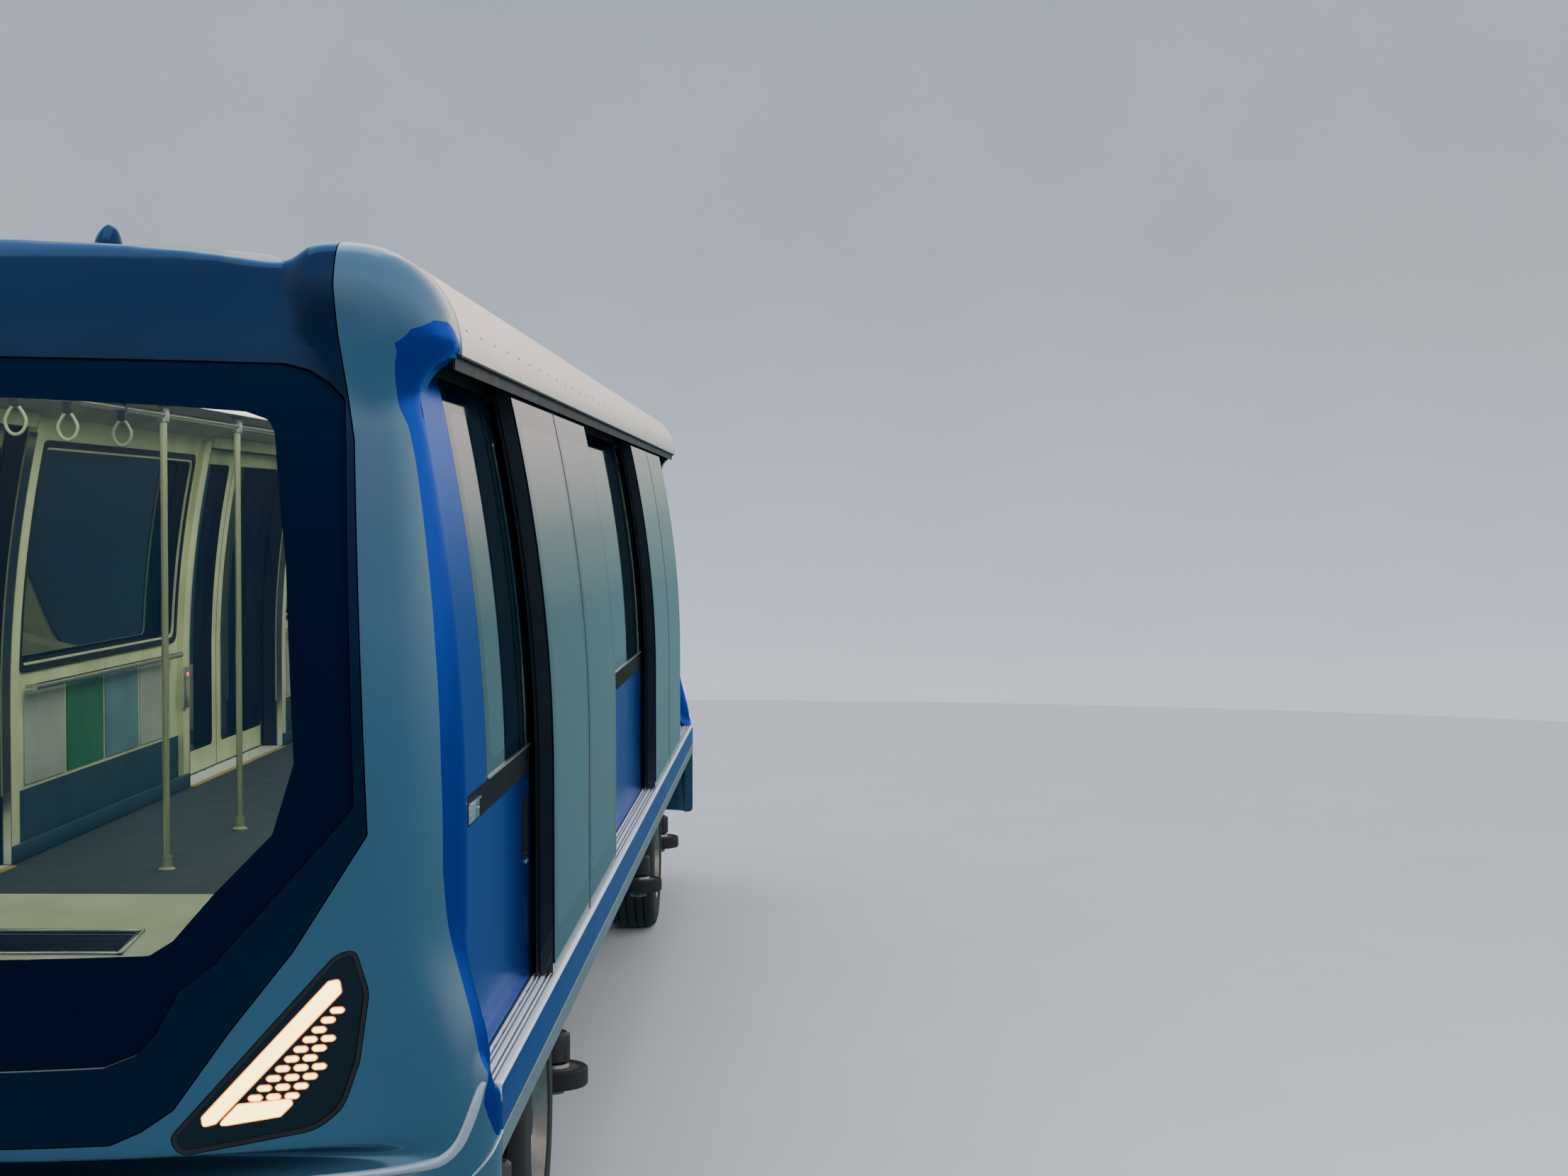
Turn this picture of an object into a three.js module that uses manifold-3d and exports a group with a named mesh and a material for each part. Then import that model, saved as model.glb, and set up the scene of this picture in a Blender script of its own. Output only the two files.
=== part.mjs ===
// Automated people mover: one double-ended, rubber-tyred car for a guideway.
// Millimetres. +X is the front of the car, +Y its left side, +Z up, z = 0 the running surface.

import * as THREE from 'three';
import { mergeVertices } from 'three/addons/utils/BufferGeometryUtils.js';
import Module from 'manifold-3d';

const wasm = await Module();
wasm.setup();

// Driving dimensions of the body
const NOSE_X = 5900;
const WALL_END_X = 5440;
const SKIRT_END_X = 5480;
const GAP = 0.3;

const WALL_Y = 1330;
const WALL_THICKNESS = 90;
const VERTICAL_TO_Z = 1750;
const TUMBLEHOME_RADIUS = 5700;

const FLOOR_Z = 1100;
const FLOOR_BOTTOM_Z = 1040;
const FRAME_BOTTOM_Z = 960;
const CEILING_Z = 3120;
const CROWN_Z = 3353;
const SEAM_Y = 866;
const SEAM_Z = 3292;
const SHOULDER_Z = 3255;
const DECK_SIDE_Y = 1170;

const SILL_Y = 1425;
const SILL_BOTTOM_Z = 899;
const SKIRT_THICKNESS = 25;

// Roof fairing: an arc from the lip over the shoulder
const FAIRING_Y = 1020;
const FAIRING_Z = 3065;
const FAIRING_RADIUS = 285;
const FAIRING_SHELL = 30;
const LIP_ANGLE = -2;
const FAIRING_STEPS = 8;
const RIDGE_Y = 915;
const RIDGE_Z = 3347;

// Doors: each doorway has two leaves that part, hung outside the wall
const DOOR_X = 2700;
const LEAF_WIDTH = 1297;
const LEAF_Y = 1412;
const LEAF_THICKNESS = 62;
const LEAF_BOTTOM_Z = 1110;
const LEAF_TOP_Z = 3030;
const DOORWAY_HALF = 1180;
const DOORWAY_TOP_Z = 3000;
const RAIL_Y = 1212;
const RAIL_Z = 3095;
const RAIL_TOP_Z = 3127;
const ROLLER_RADIUS = 18;
const ROLLER_Z = RAIL_TOP_Z + ROLLER_RADIUS + 0.4;

// Air conditioners on the roof
const AIR_X = 2550;
const AIR_LENGTH = 2100;
const AIR_WIDTH = 1300;
const AIR_Z = 3365;
const AIR_TOP_Z = 3560;
const FAN_STEP = 520;
const FAN_RADIUS = 300;

// Running gear
const AXLE_X = 3400;
const WHEEL_Y = 1150;
const TYRE_RADIUS = 470;
const TYRE_WIDTH = 300;
const AXLE_BORE = 61;
const AXLE_SPIGOT = 60;
const GUIDE_X = 950;
const GUIDE_Y = 1240;
const GUIDE_RADIUS = 140;
const GUIDE_BOTTOM_Z = 360;
const GUIDE_TOP_Z = 460;
const GUIDE_PIN = 25;
const GUIDE_BORE = 26;
const COUPLER_PIVOT_X = 5080;
const COUPLER_Z = 620;
const COUPLER_EYE = 120;
const COUPLER_PIN = 30;

const COLOURS = {
  slate: [0x5d7780, 0.35, 0.55],
  blue: [0x1d4aa8, 0.3, 0.3],
  silver: [0xc9cacc, 0.25, 0.7],
  mask: [0x0c141d, 0.15, 0.1],
  glass: [0x1c2428, 0.08, 0.1],
  aluminium: [0xc8cac8, 0.35, 0.9],
  cream: [0xcfcba6, 0.6, 0],
  flooring: [0x2c3a44, 0.8, 0],
  steel: [0x2b2e31, 0.6, 0.6],
  stainless: [0xc4c6c8, 0.25, 0.95],
  rubber: [0x17181a, 0.9, 0],
  lamp: [0x20252a, 0.2, 0.2],
  plastic: [0xd8dadc, 0.5, 0],
};

// Solids: closed meshes, joined and cut

const radians = (degrees) => degrees * Math.PI / 180;

function solid(geometry) {
  geometry.deleteAttribute('normal');
  geometry.deleteAttribute('uv');
  const merged = mergeVertices(geometry, 1e-4);
  return new wasm.Manifold(new wasm.Mesh({
    numProp: 3,
    vertProperties: new Float32Array(merged.attributes.position.array),
    triVerts: new Uint32Array(merged.index.array),
  }));
}

function union(parts) {
  return parts.reduce((whole, next) => whole.add(next));
}

function extrude(points, depth, matrix) {
  const shape = new THREE.Shape(points.map(([u, v]) => new THREE.Vector2(u, v)));
  const geometry = new THREE.ExtrudeGeometry(shape, { depth, bevelEnabled: false, steps: 1 });
  return solid(geometry.applyMatrix4(matrix));
}

// Outline of [y, z] points, carried along X
function prismX(points, x0, x1) {
  return extrude(points, x1 - x0, new THREE.Matrix4().set(0, 0, 1, x0, 1, 0, 0, 0, 0, 1, 0, 0, 0, 0, 0, 1));
}

// Outline of [x, z] points, carried along Y
function prismY(points, y0, y1) {
  const turned = points.map(([x, z]) => [z, x]);
  return extrude(turned, y1 - y0, new THREE.Matrix4().set(0, 1, 0, 0, 0, 0, 1, y0, 1, 0, 0, 0, 0, 0, 0, 1));
}

function box(x0, x1, y0, y1, z0, z1) {
  const geometry = new THREE.BoxGeometry(x1 - x0, y1 - y0, z1 - z0);
  return solid(geometry.translate((x0 + x1) / 2, (y0 + y1) / 2, (z0 + z1) / 2));
}

// Closed profile of [radius, along] points turned about Y, then laid along an axis through a place
function turned(profile, segments, axis, place) {
  const points = profile.map(([radius, along]) => new THREE.Vector2(radius, along));
  const geometry = new THREE.LatheGeometry(points, segments);
  if (axis === 'z') geometry.rotateX(Math.PI / 2);
  if (axis === 'x') geometry.rotateZ(-Math.PI / 2);
  return solid(geometry.translate(...place));
}

// A round bar from one height along its axis to another
function bar(radius, from, to, segments, axis, place) {
  return turned([[0, from], [radius, from], [radius, to], [0, to]], segments, axis, place);
}

// Rings of [x, y, z] points, one above the other, each counter-clockwise from above
function loft(rings) {
  const count = rings[0].length;
  const position = rings.flat(2);
  const index = [];
  for (let ring = 0; ring + 1 < rings.length; ring += 1) {
    for (let i = 0; i < count; i += 1) {
      const a = ring * count + i;
      const b = ring * count + (i + 1) % count;
      index.push(a, b, b + count, a, b + count, a + count);
    }
  }
  const flat = (ring) => ring.map(([x, y]) => new THREE.Vector2(x, y));
  const top = (rings.length - 1) * count;
  for (const [a, b, c] of THREE.ShapeUtils.triangulateShape(flat(rings[0]), [])) index.push(c, b, a);
  for (const [a, b, c] of THREE.ShapeUtils.triangulateShape(flat(rings.at(-1)), [])) {
    index.push(top + a, top + b, top + c);
  }
  const geometry = new THREE.BufferGeometry();
  geometry.setAttribute('position', new THREE.Float32BufferAttribute(position, 3));
  geometry.setIndex(index);
  return solid(geometry);
}

const mirrorY = (part) => part.mirror([0, 1, 0]);
const halfTurn = (part) => part.rotate([0, 0, 180]);
const mirrored = (half) => [...half, ...half.map(([y, z]) => [-y, z]).reverse()];

// A half outline of [y, z] points and its mirror image, with no point on the centreline twice
function wholeOutline(half) {
  return mirrored(half).filter(([y], i, all) => y !== 0 || i === 0 || all[i - 1][0] !== 0);
}

const group = new THREE.Group();
group.name = 'people_mover';

function addNode(name, part, colour) {
  const mesh = part.getMesh();
  const geometry = new THREE.BufferGeometry();
  geometry.setAttribute('position', new THREE.BufferAttribute(new Float32Array(mesh.vertProperties), 3));
  geometry.setIndex(new THREE.BufferAttribute(new Uint32Array(mesh.triVerts), 1));
  const [color, roughness, metalness] = COLOURS[colour];
  const node = new THREE.Mesh(geometry, new THREE.MeshStandardMaterial({ color, roughness, metalness }));
  node.name = name;
  group.add(node);
}

// Shape of the side: upright to the waist, then leaning in on a long arc

const leanIn = (z) => Math.max(0, z - VERTICAL_TO_Z) ** 2 / (2 * TUMBLEHOME_RADIUS);

const SKIN_LEVELS = [VERTICAL_TO_Z, 2100, 2450, 2800];

// Outline of a skin that follows the side between two heights
function sideSkin(outerY, thickness, z0, z1) {
  const levels = SKIN_LEVELS.filter((z) => z > z0 + 1 && z < z1 - 1);
  const heights = [z0, ...levels, z1];
  const outer = heights.map((z) => [outerY - leanIn(z), z]);
  const inner = heights.map((z) => [outerY - leanIn(z) - thickness, z]);
  return [...outer, ...inner.reverse()];
}

// Floor and underframe

function makeFloor() {
  return box(-WALL_END_X + GAP, WALL_END_X - GAP, -WALL_Y, WALL_Y, FLOOR_BOTTOM_Z, FLOOR_Z);
}

// Cases hung under the floor between the bogies: [x0, x1, y0, y1, bottom z]
const UNDERFLOOR_CASES = [
  [-2050, -1150, 420, 1180, 470],
  [-1050, 250, 420, 1200, 430],
  [400, 1250, 420, 1150, 520],
  [1350, 2050, 420, 1180, 450],
  [-2050, -700, -1190, -420, 440],
  [-550, 650, -1150, -420, 500],
  [800, 2050, -1190, -420, 430],
];

// Rails that the cases hang on: along the car at these Y, and across it at these X
const CASE_RAILS_Y = [-1080, -500, 500, 1080];
const CASE_RAILS_X = [-1750, 0, 1750];
const CASE_RAIL_HALF = 40;

function makeUnderfloorCases() {
  const top = FRAME_BOTTOM_Z - GAP;
  const railBottom = top - 45;
  const parts = UNDERFLOOR_CASES.map(([x0, x1, y0, y1, z0]) => box(x0, x1, y0, y1, z0, railBottom + 5));
  for (const y of CASE_RAILS_Y) {
    parts.push(box(-2000, 2000, y - CASE_RAIL_HALF, y + CASE_RAIL_HALF, railBottom, top));
  }
  for (const x of CASE_RAILS_X) {
    parts.push(box(x - CASE_RAIL_HALF, x + CASE_RAIL_HALF, -1100, 1100, railBottom, top));
  }
  return union(parts);
}

// Cross beams under the floor, by place along X
const CROSS_BEAMS = [-5300, -4400, -2250, 0, 2250, 4400, 5300];
const BEAM_HALF = 60;
const CENTRE_BEAM = [330, 450];
const PAD_X = 4400;
const PAD_Y = 1190;
const PAD_BOTTOM_Z = 900;

function makeUnderframe() {
  const top = FLOOR_BOTTOM_Z - GAP;
  const end = WALL_END_X - GAP;
  const half = WALL_Y - 1;
  const overlapZ = FRAME_BOTTOM_Z + 1;
  const parts = [box(-end, end, -half, half, FRAME_BOTTOM_Z + 40, top)];
  for (const x of CROSS_BEAMS) {
    parts.push(box(x - BEAM_HALF, x + BEAM_HALF, -half, half, FRAME_BOTTOM_Z, top));
  }
  for (const side of [-1, 1]) {
    const [inner, outer] = CENTRE_BEAM.map((y) => side * y).sort((a, b) => a - b);
    parts.push(box(-end, end, inner, outer, FRAME_BOTTOM_Z, top));
  }
  for (const end of [-1, 1]) {
    const x = end * AXLE_X;
    parts.push(box(x - 520, x + 520, -520, 520, FRAME_BOTTOM_Z, top));
    for (const side of [-1, 1]) {
      const [padX, padY] = [end * PAD_X, side * PAD_Y];
      parts.push(box(padX - 90, padX + 90, padY - 80, padY + 80, PAD_BOTTOM_Z, overlapZ));
    }
  }
  return union(parts);
}

// Clevis and pin under the front end of the frame that hold the coupler
function makeCouplerBracket() {
  const [backX, frontX] = [COUPLER_PIVOT_X - 410, COUPLER_PIVOT_X + 110];
  const half = 160;
  const top = FRAME_BOTTOM_Z - GAP;
  const jaw = COUPLER_EYE / 2 + 0.5;
  return union([
    box(backX, frontX + 130, -half, half, top - 60, top),
    box(backX, backX + 220, -half, half, COUPLER_Z - 110, top),
    box(frontX - 220, frontX, -half, half, COUPLER_Z + jaw, top),
    box(backX, frontX, -half, half, COUPLER_Z - 110, COUPLER_Z - jaw),
    bar(COUPLER_PIN, -100, 100, 16, 'z', [COUPLER_PIVOT_X, 0, COUPLER_Z]),
  ]);
}

// Side walls with doorways, windows and the rails the doors hang on

// Panes bonded into each wall, by name and their two ends along X, rear one first
const WINDOWS = [
  ['front', 3950, 5030],
  ['middle', -1380, 1380],
  ['rear', -5030, -3950],
];
const PANE_BOTTOM_Z = 1865;
const PANE_TOP_Z = 3010;
const PANE_THICKNESS = 12;

// How far the glass laps over the wall around its hole, and a span of Y that holds the whole wall
const PANE_LAP = 85;
const CUT_Y0 = 900;
const CUT_Y1 = 1500;
const RAIL_HALF_LENGTH = 5250;

// A prism through the wall over a pane's rectangle, grown on all sides
function windowPrism(x0, x1, by) {
  return box(x0 - by, x1 + by, CUT_Y0, CUT_Y1, PANE_BOTTOM_Z - by, PANE_TOP_Z + by);
}

function makeSideWall() {
  const end = WALL_END_X - GAP;
  const proud = 40;
  let wall = prismX(sideSkin(WALL_Y, WALL_THICKNESS, FLOOR_Z + GAP, CEILING_Z), -end, end);
  const rebateSkin = sideSkin(WALL_Y + proud, proud + PANE_THICKNESS, FLOOR_Z - 50, CEILING_Z + 50);
  const rebate = prismX(rebateSkin, -end - 9, end + 9);
  for (const [, x0, x1] of WINDOWS) {
    wall = wall.subtract(windowPrism(x0, x1, -PANE_LAP));
    wall = wall.subtract(rebate.intersect(windowPrism(x0, x1, GAP)));
  }
  for (const x of [-DOOR_X, DOOR_X]) {
    const [x0, x1] = [x - DOORWAY_HALF, x + DOORWAY_HALF];
    wall = wall.subtract(box(x0, x1, CUT_Y0, CUT_Y1, FLOOR_Z - 50, DOORWAY_TOP_Z));
  }
  const [x0, x1] = [-RAIL_HALF_LENGTH, RAIL_HALF_LENGTH];
  const shelf = box(x0, x1, 1150, RAIL_Y + 6, RAIL_Z, RAIL_Z + 12);
  const upstand = box(x0, x1, RAIL_Y - 6, RAIL_Y + 6, RAIL_Z, RAIL_TOP_Z);
  return union([wall, shelf, upstand]);
}

function makePane(x0, x1) {
  const skinOutline = sideSkin(WALL_Y, PANE_THICKNESS - GAP, FLOOR_Z, CEILING_Z);
  return prismX(skinOutline, -WALL_END_X, WALL_END_X).intersect(windowPrism(x0, x1, 0));
}

// Door leaves: a frame with its pane, and the arms and rollers that hang it

function makeLeaf(centreX) {
  const x0 = centreX - LEAF_WIDTH / 2;
  const x1 = centreX + LEAF_WIDTH / 2;
  const slab = prismX(sideSkin(LEAF_Y, LEAF_THICKNESS, LEAF_BOTTOM_Z, LEAF_TOP_Z), x0, x1);
  const recessSkin = sideSkin(LEAF_Y - 14, LEAF_THICKNESS, LEAF_BOTTOM_Z + 120, LEAF_TOP_Z - 90);
  const recess = prismX(recessSkin, x0 + 70, x1 - 70);
  const parts = [slab.subtract(recess)];
  for (const x of [centreX - 420, centreX + 420]) {
    parts.push(box(x - 60, x + 60, 1228, 1240, LEAF_TOP_Z - 20, ROLLER_Z + 20));
    parts.push(bar(ROLLER_RADIUS, RAIL_Y - 13, 1230, 10, 'y', [x, 0, ROLLER_Z]));
  }
  return union(parts);
}

// Sills: the ribbed ledge beside the floor and the skirt below it

// Ribs across the top of the ledge: [inner y, outer y]
const LEDGE_GROOVES = [[1346, 1352], [1366, 1371], [1381, 1386], [1398, 1403]];

function makeSill() {
  const end = SKIRT_END_X - GAP;
  const inner = WALL_Y + GAP;
  const top = [[inner, FLOOR_BOTTOM_Z + 10], [inner, FLOOR_Z]];
  const grooveZ = FLOOR_Z - 7;
  const skirtY = SILL_Y - SKIRT_THICKNESS;
  for (const [y0, y1] of LEDGE_GROOVES) top.push([y0, FLOOR_Z], [y0, grooveZ], [y1, grooveZ], [y1, FLOOR_Z]);
  const outline = [...top, [SILL_Y, FLOOR_Z], [SILL_Y, SILL_BOTTOM_Z], [skirtY, SILL_BOTTOM_Z],
    [skirtY, FLOOR_BOTTOM_Z + 10]];
  return prismX(outline.reverse(), -end, end);
}

// Roof: the deck between the fairings, with plinths for the air conditioners

// Fin aerial: its side outline [x, z] and its thickness along Y
const FIN_FOOT_Z = CROWN_Z - 30;
const FIN_OUTLINE = [[4900, FIN_FOOT_Z], [5040, FIN_FOOT_Z], [5040, 3380], [5020, 3440], [4990, 3449],
  [4950, 3410]];
const FIN_Y0 = 225;
const FIN_Y1 = 262;

function makeRoofDeck() {
  const crown = [];
  for (const share of [0, 0.25, 0.5, 0.75, 1]) {
    const y = (SEAM_Y - 3) * share;
    crown.push([y, CROWN_Z - (CROWN_Z - SEAM_Z) * share ** 2]);
  }
  const half = [...crown, [SEAM_Y - 3, SHOULDER_Z], [DECK_SIDE_Y, SHOULDER_Z],
    [DECK_SIDE_Y, CEILING_Z + GAP]];
  const parts = [prismX(wholeOutline(half.reverse()), -WALL_END_X + GAP, WALL_END_X - GAP)];
  const plinthHalf = AIR_LENGTH / 2 - 20;
  for (const x of [-AIR_X, AIR_X]) {
    parts.push(box(x - plinthHalf, x + plinthHalf, -600, 600, CROWN_Z - 80, AIR_Z));
  }
  parts.push(prismY(FIN_OUTLINE, FIN_Y0, FIN_Y1));
  return union(parts);
}

function makeAirConditioner(x) {
  const half = AIR_WIDTH / 2;
  const outline = [[-half, AIR_Z + GAP], [half, AIR_Z + GAP], [half, AIR_TOP_Z - 70], [half - 90, AIR_TOP_Z],
    [90 - half, AIR_TOP_Z], [-half, AIR_TOP_Z - 70]];
  let unit = prismX(outline, x - AIR_LENGTH / 2, x + AIR_LENGTH / 2);
  for (const fanX of [x - FAN_STEP, x + FAN_STEP]) {
    unit = unit.subtract(bar(FAN_RADIUS, -25, 25, 20, 'z', [fanX, 0, AIR_TOP_Z]));
  }
  return unit;
}

function arc(centreY, centreZ, radius, fromDegrees, toDegrees, steps) {
  const points = [];
  for (let i = 0; i <= steps; i += 1) {
    const angle = radians(fromDegrees + (toDegrees - fromDegrees) * i / steps);
    points.push([centreY + radius * Math.cos(angle), centreZ + radius * Math.sin(angle)]);
  }
  return points;
}

const fairingArc = () => arc(FAIRING_Y, FAIRING_Z, FAIRING_RADIUS, LIP_ANGLE, 90, FAIRING_STEPS);

function makeFairing() {
  const innerRadius = FAIRING_RADIUS - FAIRING_SHELL;
  const innerTop = THREE.MathUtils.radToDeg(Math.asin((SHOULDER_Z + GAP - FAIRING_Z) / innerRadius));
  const outline = [
    ...fairingArc(),
    [RIDGE_Y, RIDGE_Z],
    [SEAM_Y + GAP, SEAM_Z],
    [SEAM_Y + GAP, SHOULDER_Z + GAP],
    ...arc(FAIRING_Y, FAIRING_Z, innerRadius, innerTop, LIP_ANGLE, 6),
  ];
  return prismX(outline, -WALL_END_X + GAP, WALL_END_X - GAP);
}

// End caps: plan sections stacked up, cut into cap, mask, windscreen and lamps

const CAP_FRONT_RADIUS = 3200;
const APRON_FRONT_RADIUS = 3400;
const LEAST_CORNER = 30;
const BEHIND_X = 4500;
const RING_STEPS = 4;

// Front of the cap on the centreline: [z, x]
const NOSE_LINE = [[900, 5878], [1750, 5880], [2100, 5868], [2450, 5838], [2800, 5785], [3000, 5740],
  [3120, 5702], [3220, 5655], [3300, 5595], [3353, 5520]];

// A plan section: an arc across the front, and corners that run into the sides at cornerEndX
function planRing(frontX, halfWidth, z, frontRadius, cornerEndX) {
  const bigX = frontX - frontRadius;
  const reach = cornerEndX - bigX;
  const corner = Math.max(LEAST_CORNER,
    (frontRadius ** 2 - halfWidth ** 2 - reach ** 2) / (2 * frontRadius - 2 * halfWidth));
  const cornerX = bigX + Math.sqrt((frontRadius - corner) ** 2 - (halfWidth - corner) ** 2);
  const turn = Math.atan2(halfWidth - corner, cornerX - bigX);
  const half = [];
  for (let i = 0; i <= RING_STEPS; i += 1) {
    const angle = turn * i / RING_STEPS;
    half.push([bigX + frontRadius * Math.cos(angle), frontRadius * Math.sin(angle), z]);
  }
  for (let i = 1; i <= RING_STEPS; i += 1) {
    const angle = turn + (Math.PI / 2 - turn) * i / RING_STEPS;
    half.push([cornerX + corner * Math.cos(angle), halfWidth - corner + corner * Math.sin(angle), z]);
  }
  half.push([BEHIND_X, halfWidth, z]);
  const right = half.slice(1).reverse().map(([x, y]) => [x, -y, z]);
  return [...right, ...half];
}

// The upper body of a cap, shrunk by an inset, from below to the top of the nose line
function capVolume(inset, bottomZ, topZ, backX) {
  const levels = NOSE_LINE.filter(([z]) => z > bottomZ && z < topZ);
  const at = (z) => {
    const i = Math.max(1, NOSE_LINE.findIndex(([level]) => level >= z));
    const [z0, x0] = NOSE_LINE[i - 1];
    const [z1, x1] = NOSE_LINE[i];
    return x0 + (x1 - x0) * (z - z0) / (z1 - z0);
  };
  const heights = [bottomZ, ...levels.map(([z]) => z), topZ];
  return loft(heights.map((z) => {
    const frontX = at(Math.max(z, 900)) - inset;
    const halfWidth = WALL_Y - leanIn(Math.min(z, CEILING_Z)) - inset;
    return planRing(frontX, halfWidth, z, CAP_FRONT_RADIUS - inset, WALL_END_X + 2);
  })).intersect(box(backX, NOSE_X + 50, -1500, 1500, bottomZ - 10, topZ + 10));
}

// Top edge of the apron, seen from the side: [x, z]
const APRON_TOP = [[5480.3, 1100], [5540, 1088], [5620, 1050], [5700, 1000], [5800, 950], [5901, 930],
  [5950, 930]];
const APRON_BOTTOM_Z = 470;
const CAP_SHELL = 60;

function apronVolume(inset, z0, z1, backX) {
  const frontRadius = APRON_FRONT_RADIUS - inset;
  const ring = (z) => planRing(NOSE_X - inset, SILL_Y - inset, z, frontRadius, SKIRT_END_X + 2);
  return loft([ring(z0), ring(z1)]).intersect(box(backX, NOSE_X + 50, -1500, 1500, z0 - 10, z1 + 10));
}

// The fairing's nose: its outline drawn in toward a point inside the cap
const NOSE_PULL_Y = 960;
const NOSE_PULL_Z = 3060;

function fairingNose() {
  const stations = [[WALL_END_X + GAP, 1], [5480, 0.985], [5520, 0.94], [5550, 0.86], [5570, 0.74]];
  const rings = stations.map(([x, share]) => {
    const drawn = (value, toward) => toward + (value - toward) * share;
    const pull = ([y, z]) => [drawn(y, NOSE_PULL_Y), drawn(z, NOSE_PULL_Z)];
    const outline = [...fairingArc(), [RIDGE_Y, RIDGE_Z], [SEAM_Y, SEAM_Z], [900, 3100], [1100, 2900],
      [1190, 2935]].map(pull);
    return outline.map(([y, z]) => [x, y, z]);
  });
  return loftX(rings);
}

// Rings of [x, y, z] points, one ahead of the other, each counter-clockwise from the front
function loftX(rings) {
  const standing = rings.map((ring) => ring.map(([x, y, z]) => [y, z, x]));
  const laidDown = new THREE.Matrix4().set(0, 0, 1, 0, 1, 0, 0, 0, 0, 1, 0, 0, 0, 0, 0, 1);
  return loft(standing).transform(laidDown.toArray());
}

// Half outlines on the front: [y, z]
const MASK_HALF = [[0, 1020], [476, 1025], [553, 1057], [631, 1109], [766, 1300], [924, 1502], [1104, 1793],
  [1061, 2816], [1040, 2945], [1022, 3400], [0, 3400]];
const GLASS_HALF = [[0, 1214], [461, 1224], [544, 1255], [588, 1303], [646, 1412], [733, 1478], [999, 1780],
  [1076, 1866], [1040, 2870], [953, 2978], [903, 3013], [0, 3028]];
const GLASS_WIDEST = 7;
const LAMP = [[1074, 1499], [1026, 1487], [619, 1035], [646, 990], [974, 1036], [1042, 1084], [1083, 1207],
  [1107, 1385]];

const MASK_BACK_X = 5500;

function makeEnd() {
  const roofHalf = [[0, 400], [SILL_Y + 50, 400], [SILL_Y + 50, 3040], ...fairingArc(), [RIDGE_Y, RIDGE_Z],
    [SEAM_Y, SEAM_Z], [SEAM_Y * 0.75, CROWN_Z - 34], [SEAM_Y * 0.5, CROWN_Z - 15], [0, CROWN_Z]];
  const roofLine = prismX(wholeOutline(roofHalf), WALL_END_X, NOSE_X + 50);
  const body = capVolume(0, FLOOR_BOTTOM_Z - 60, CROWN_Z, WALL_END_X + GAP).intersect(roofLine);
  const apronCut = prismY([[5480.3, 400], [5950, 400], ...[...APRON_TOP].reverse()], -1500, 1500);
  const apron = apronVolume(0, APRON_BOTTOM_Z, FLOOR_Z, SKIRT_END_X + GAP).intersect(apronCut);
  const nose = fairingNose();
  const outer = union([body, apron, nose, mirrorY(nose)]);
  const cabin = capVolume(CAP_SHELL, FLOOR_Z, CEILING_Z, WALL_END_X - 50);
  const well = apronVolume(CAP_SHELL, APRON_BOTTOM_Z - 100, 860, SKIRT_END_X - 50);
  const couplerSlot = box(SKIRT_END_X - 100, NOSE_X + 50, -400, 400, 400, 820);
  const solidEnd = outer.subtract(well).subtract(couplerSlot);
  const shell = solidEnd.subtract(cabin);
  const aheadX = NOSE_X + 60;
  const maskPrism = (by) => {
    const half = MASK_HALF.map(([y, z]) => [y ? y + by : 0, z - by]);
    return prismX(wholeOutline(half), MASK_BACK_X - by, aheadX);
  };
  const glassPrism = (by) => {
    const half = GLASS_HALF.map(([y, z], i) => [y ? y + by : 0, z + (i > GLASS_WIDEST ? by : -by)]);
    return prismX(wholeOutline(half), MASK_BACK_X - 200, aheadX);
  };
  const lampPrism = (by) => prismX(grownOutline(LAMP, by), MASK_BACK_X - 200, aheadX);
  const lamps = (by) => union([lampPrism(by), mirrorY(lampPrism(by))]);
  const glassBack = capVolume(20, 980, CEILING_Z + 100, WALL_END_X - 50);
  const inFront = box(MASK_BACK_X, aheadX, -1500, 1500, 400, 3500);
  const cap = shell.subtract(maskPrism(GAP)).subtract(lamps(GAP));
  const mask = shell.intersect(maskPrism(0)).subtract(glassPrism(GAP));
  const glass = outer.subtract(glassBack).intersect(glassPrism(0)).intersect(inFront);
  const lamp = shell.intersect(lampPrism(0));
  return { cap, mask, glass, lamp };
}

// Outline moved outward from its middle, twice the wanted gap at its corners
function grownOutline(outline, by) {
  const midY = outline.reduce((sum, [y]) => sum + y, 0) / outline.length;
  const midZ = outline.reduce((sum, [, z]) => sum + z, 0) / outline.length;
  return outline.map(([y, z]) => {
    const share = 2 * by / Math.hypot(y - midY, z - midZ);
    return [y + (y - midY) * share, z + (z - midZ) * share];
  });
}

function makeConsole() {
  const side = [[5100, FLOOR_Z + GAP], [5900, FLOOR_Z + GAP], [5900, 1475], [5160, 1560], [5100, 1530]];
  return capVolume(CAP_SHELL + 5, FLOOR_Z + GAP, 1700, 5000).intersect(prismY(side, -1150, 1150));
}

// Grab poles and rails of one side of the saloon: pole places along X
const POLE_PLACES = [1630, 300, -1030];

function makeGrabRails() {
  const rail = bar(16, -4200, 4200, 8, 'x', [0, -500, 3050]);
  const parts = [rail];
  for (const x of POLE_PLACES) parts.push(bar(17.5, FLOOR_Z + GAP, CEILING_Z, 8, 'z', [x, -500, 0]));
  for (const x of [-4100, -2600, 2900, 4100]) parts.push(box(x - 12, x + 12, -512, -488, 3045, CEILING_Z));
  return union(parts);
}

// Running gear

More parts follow.
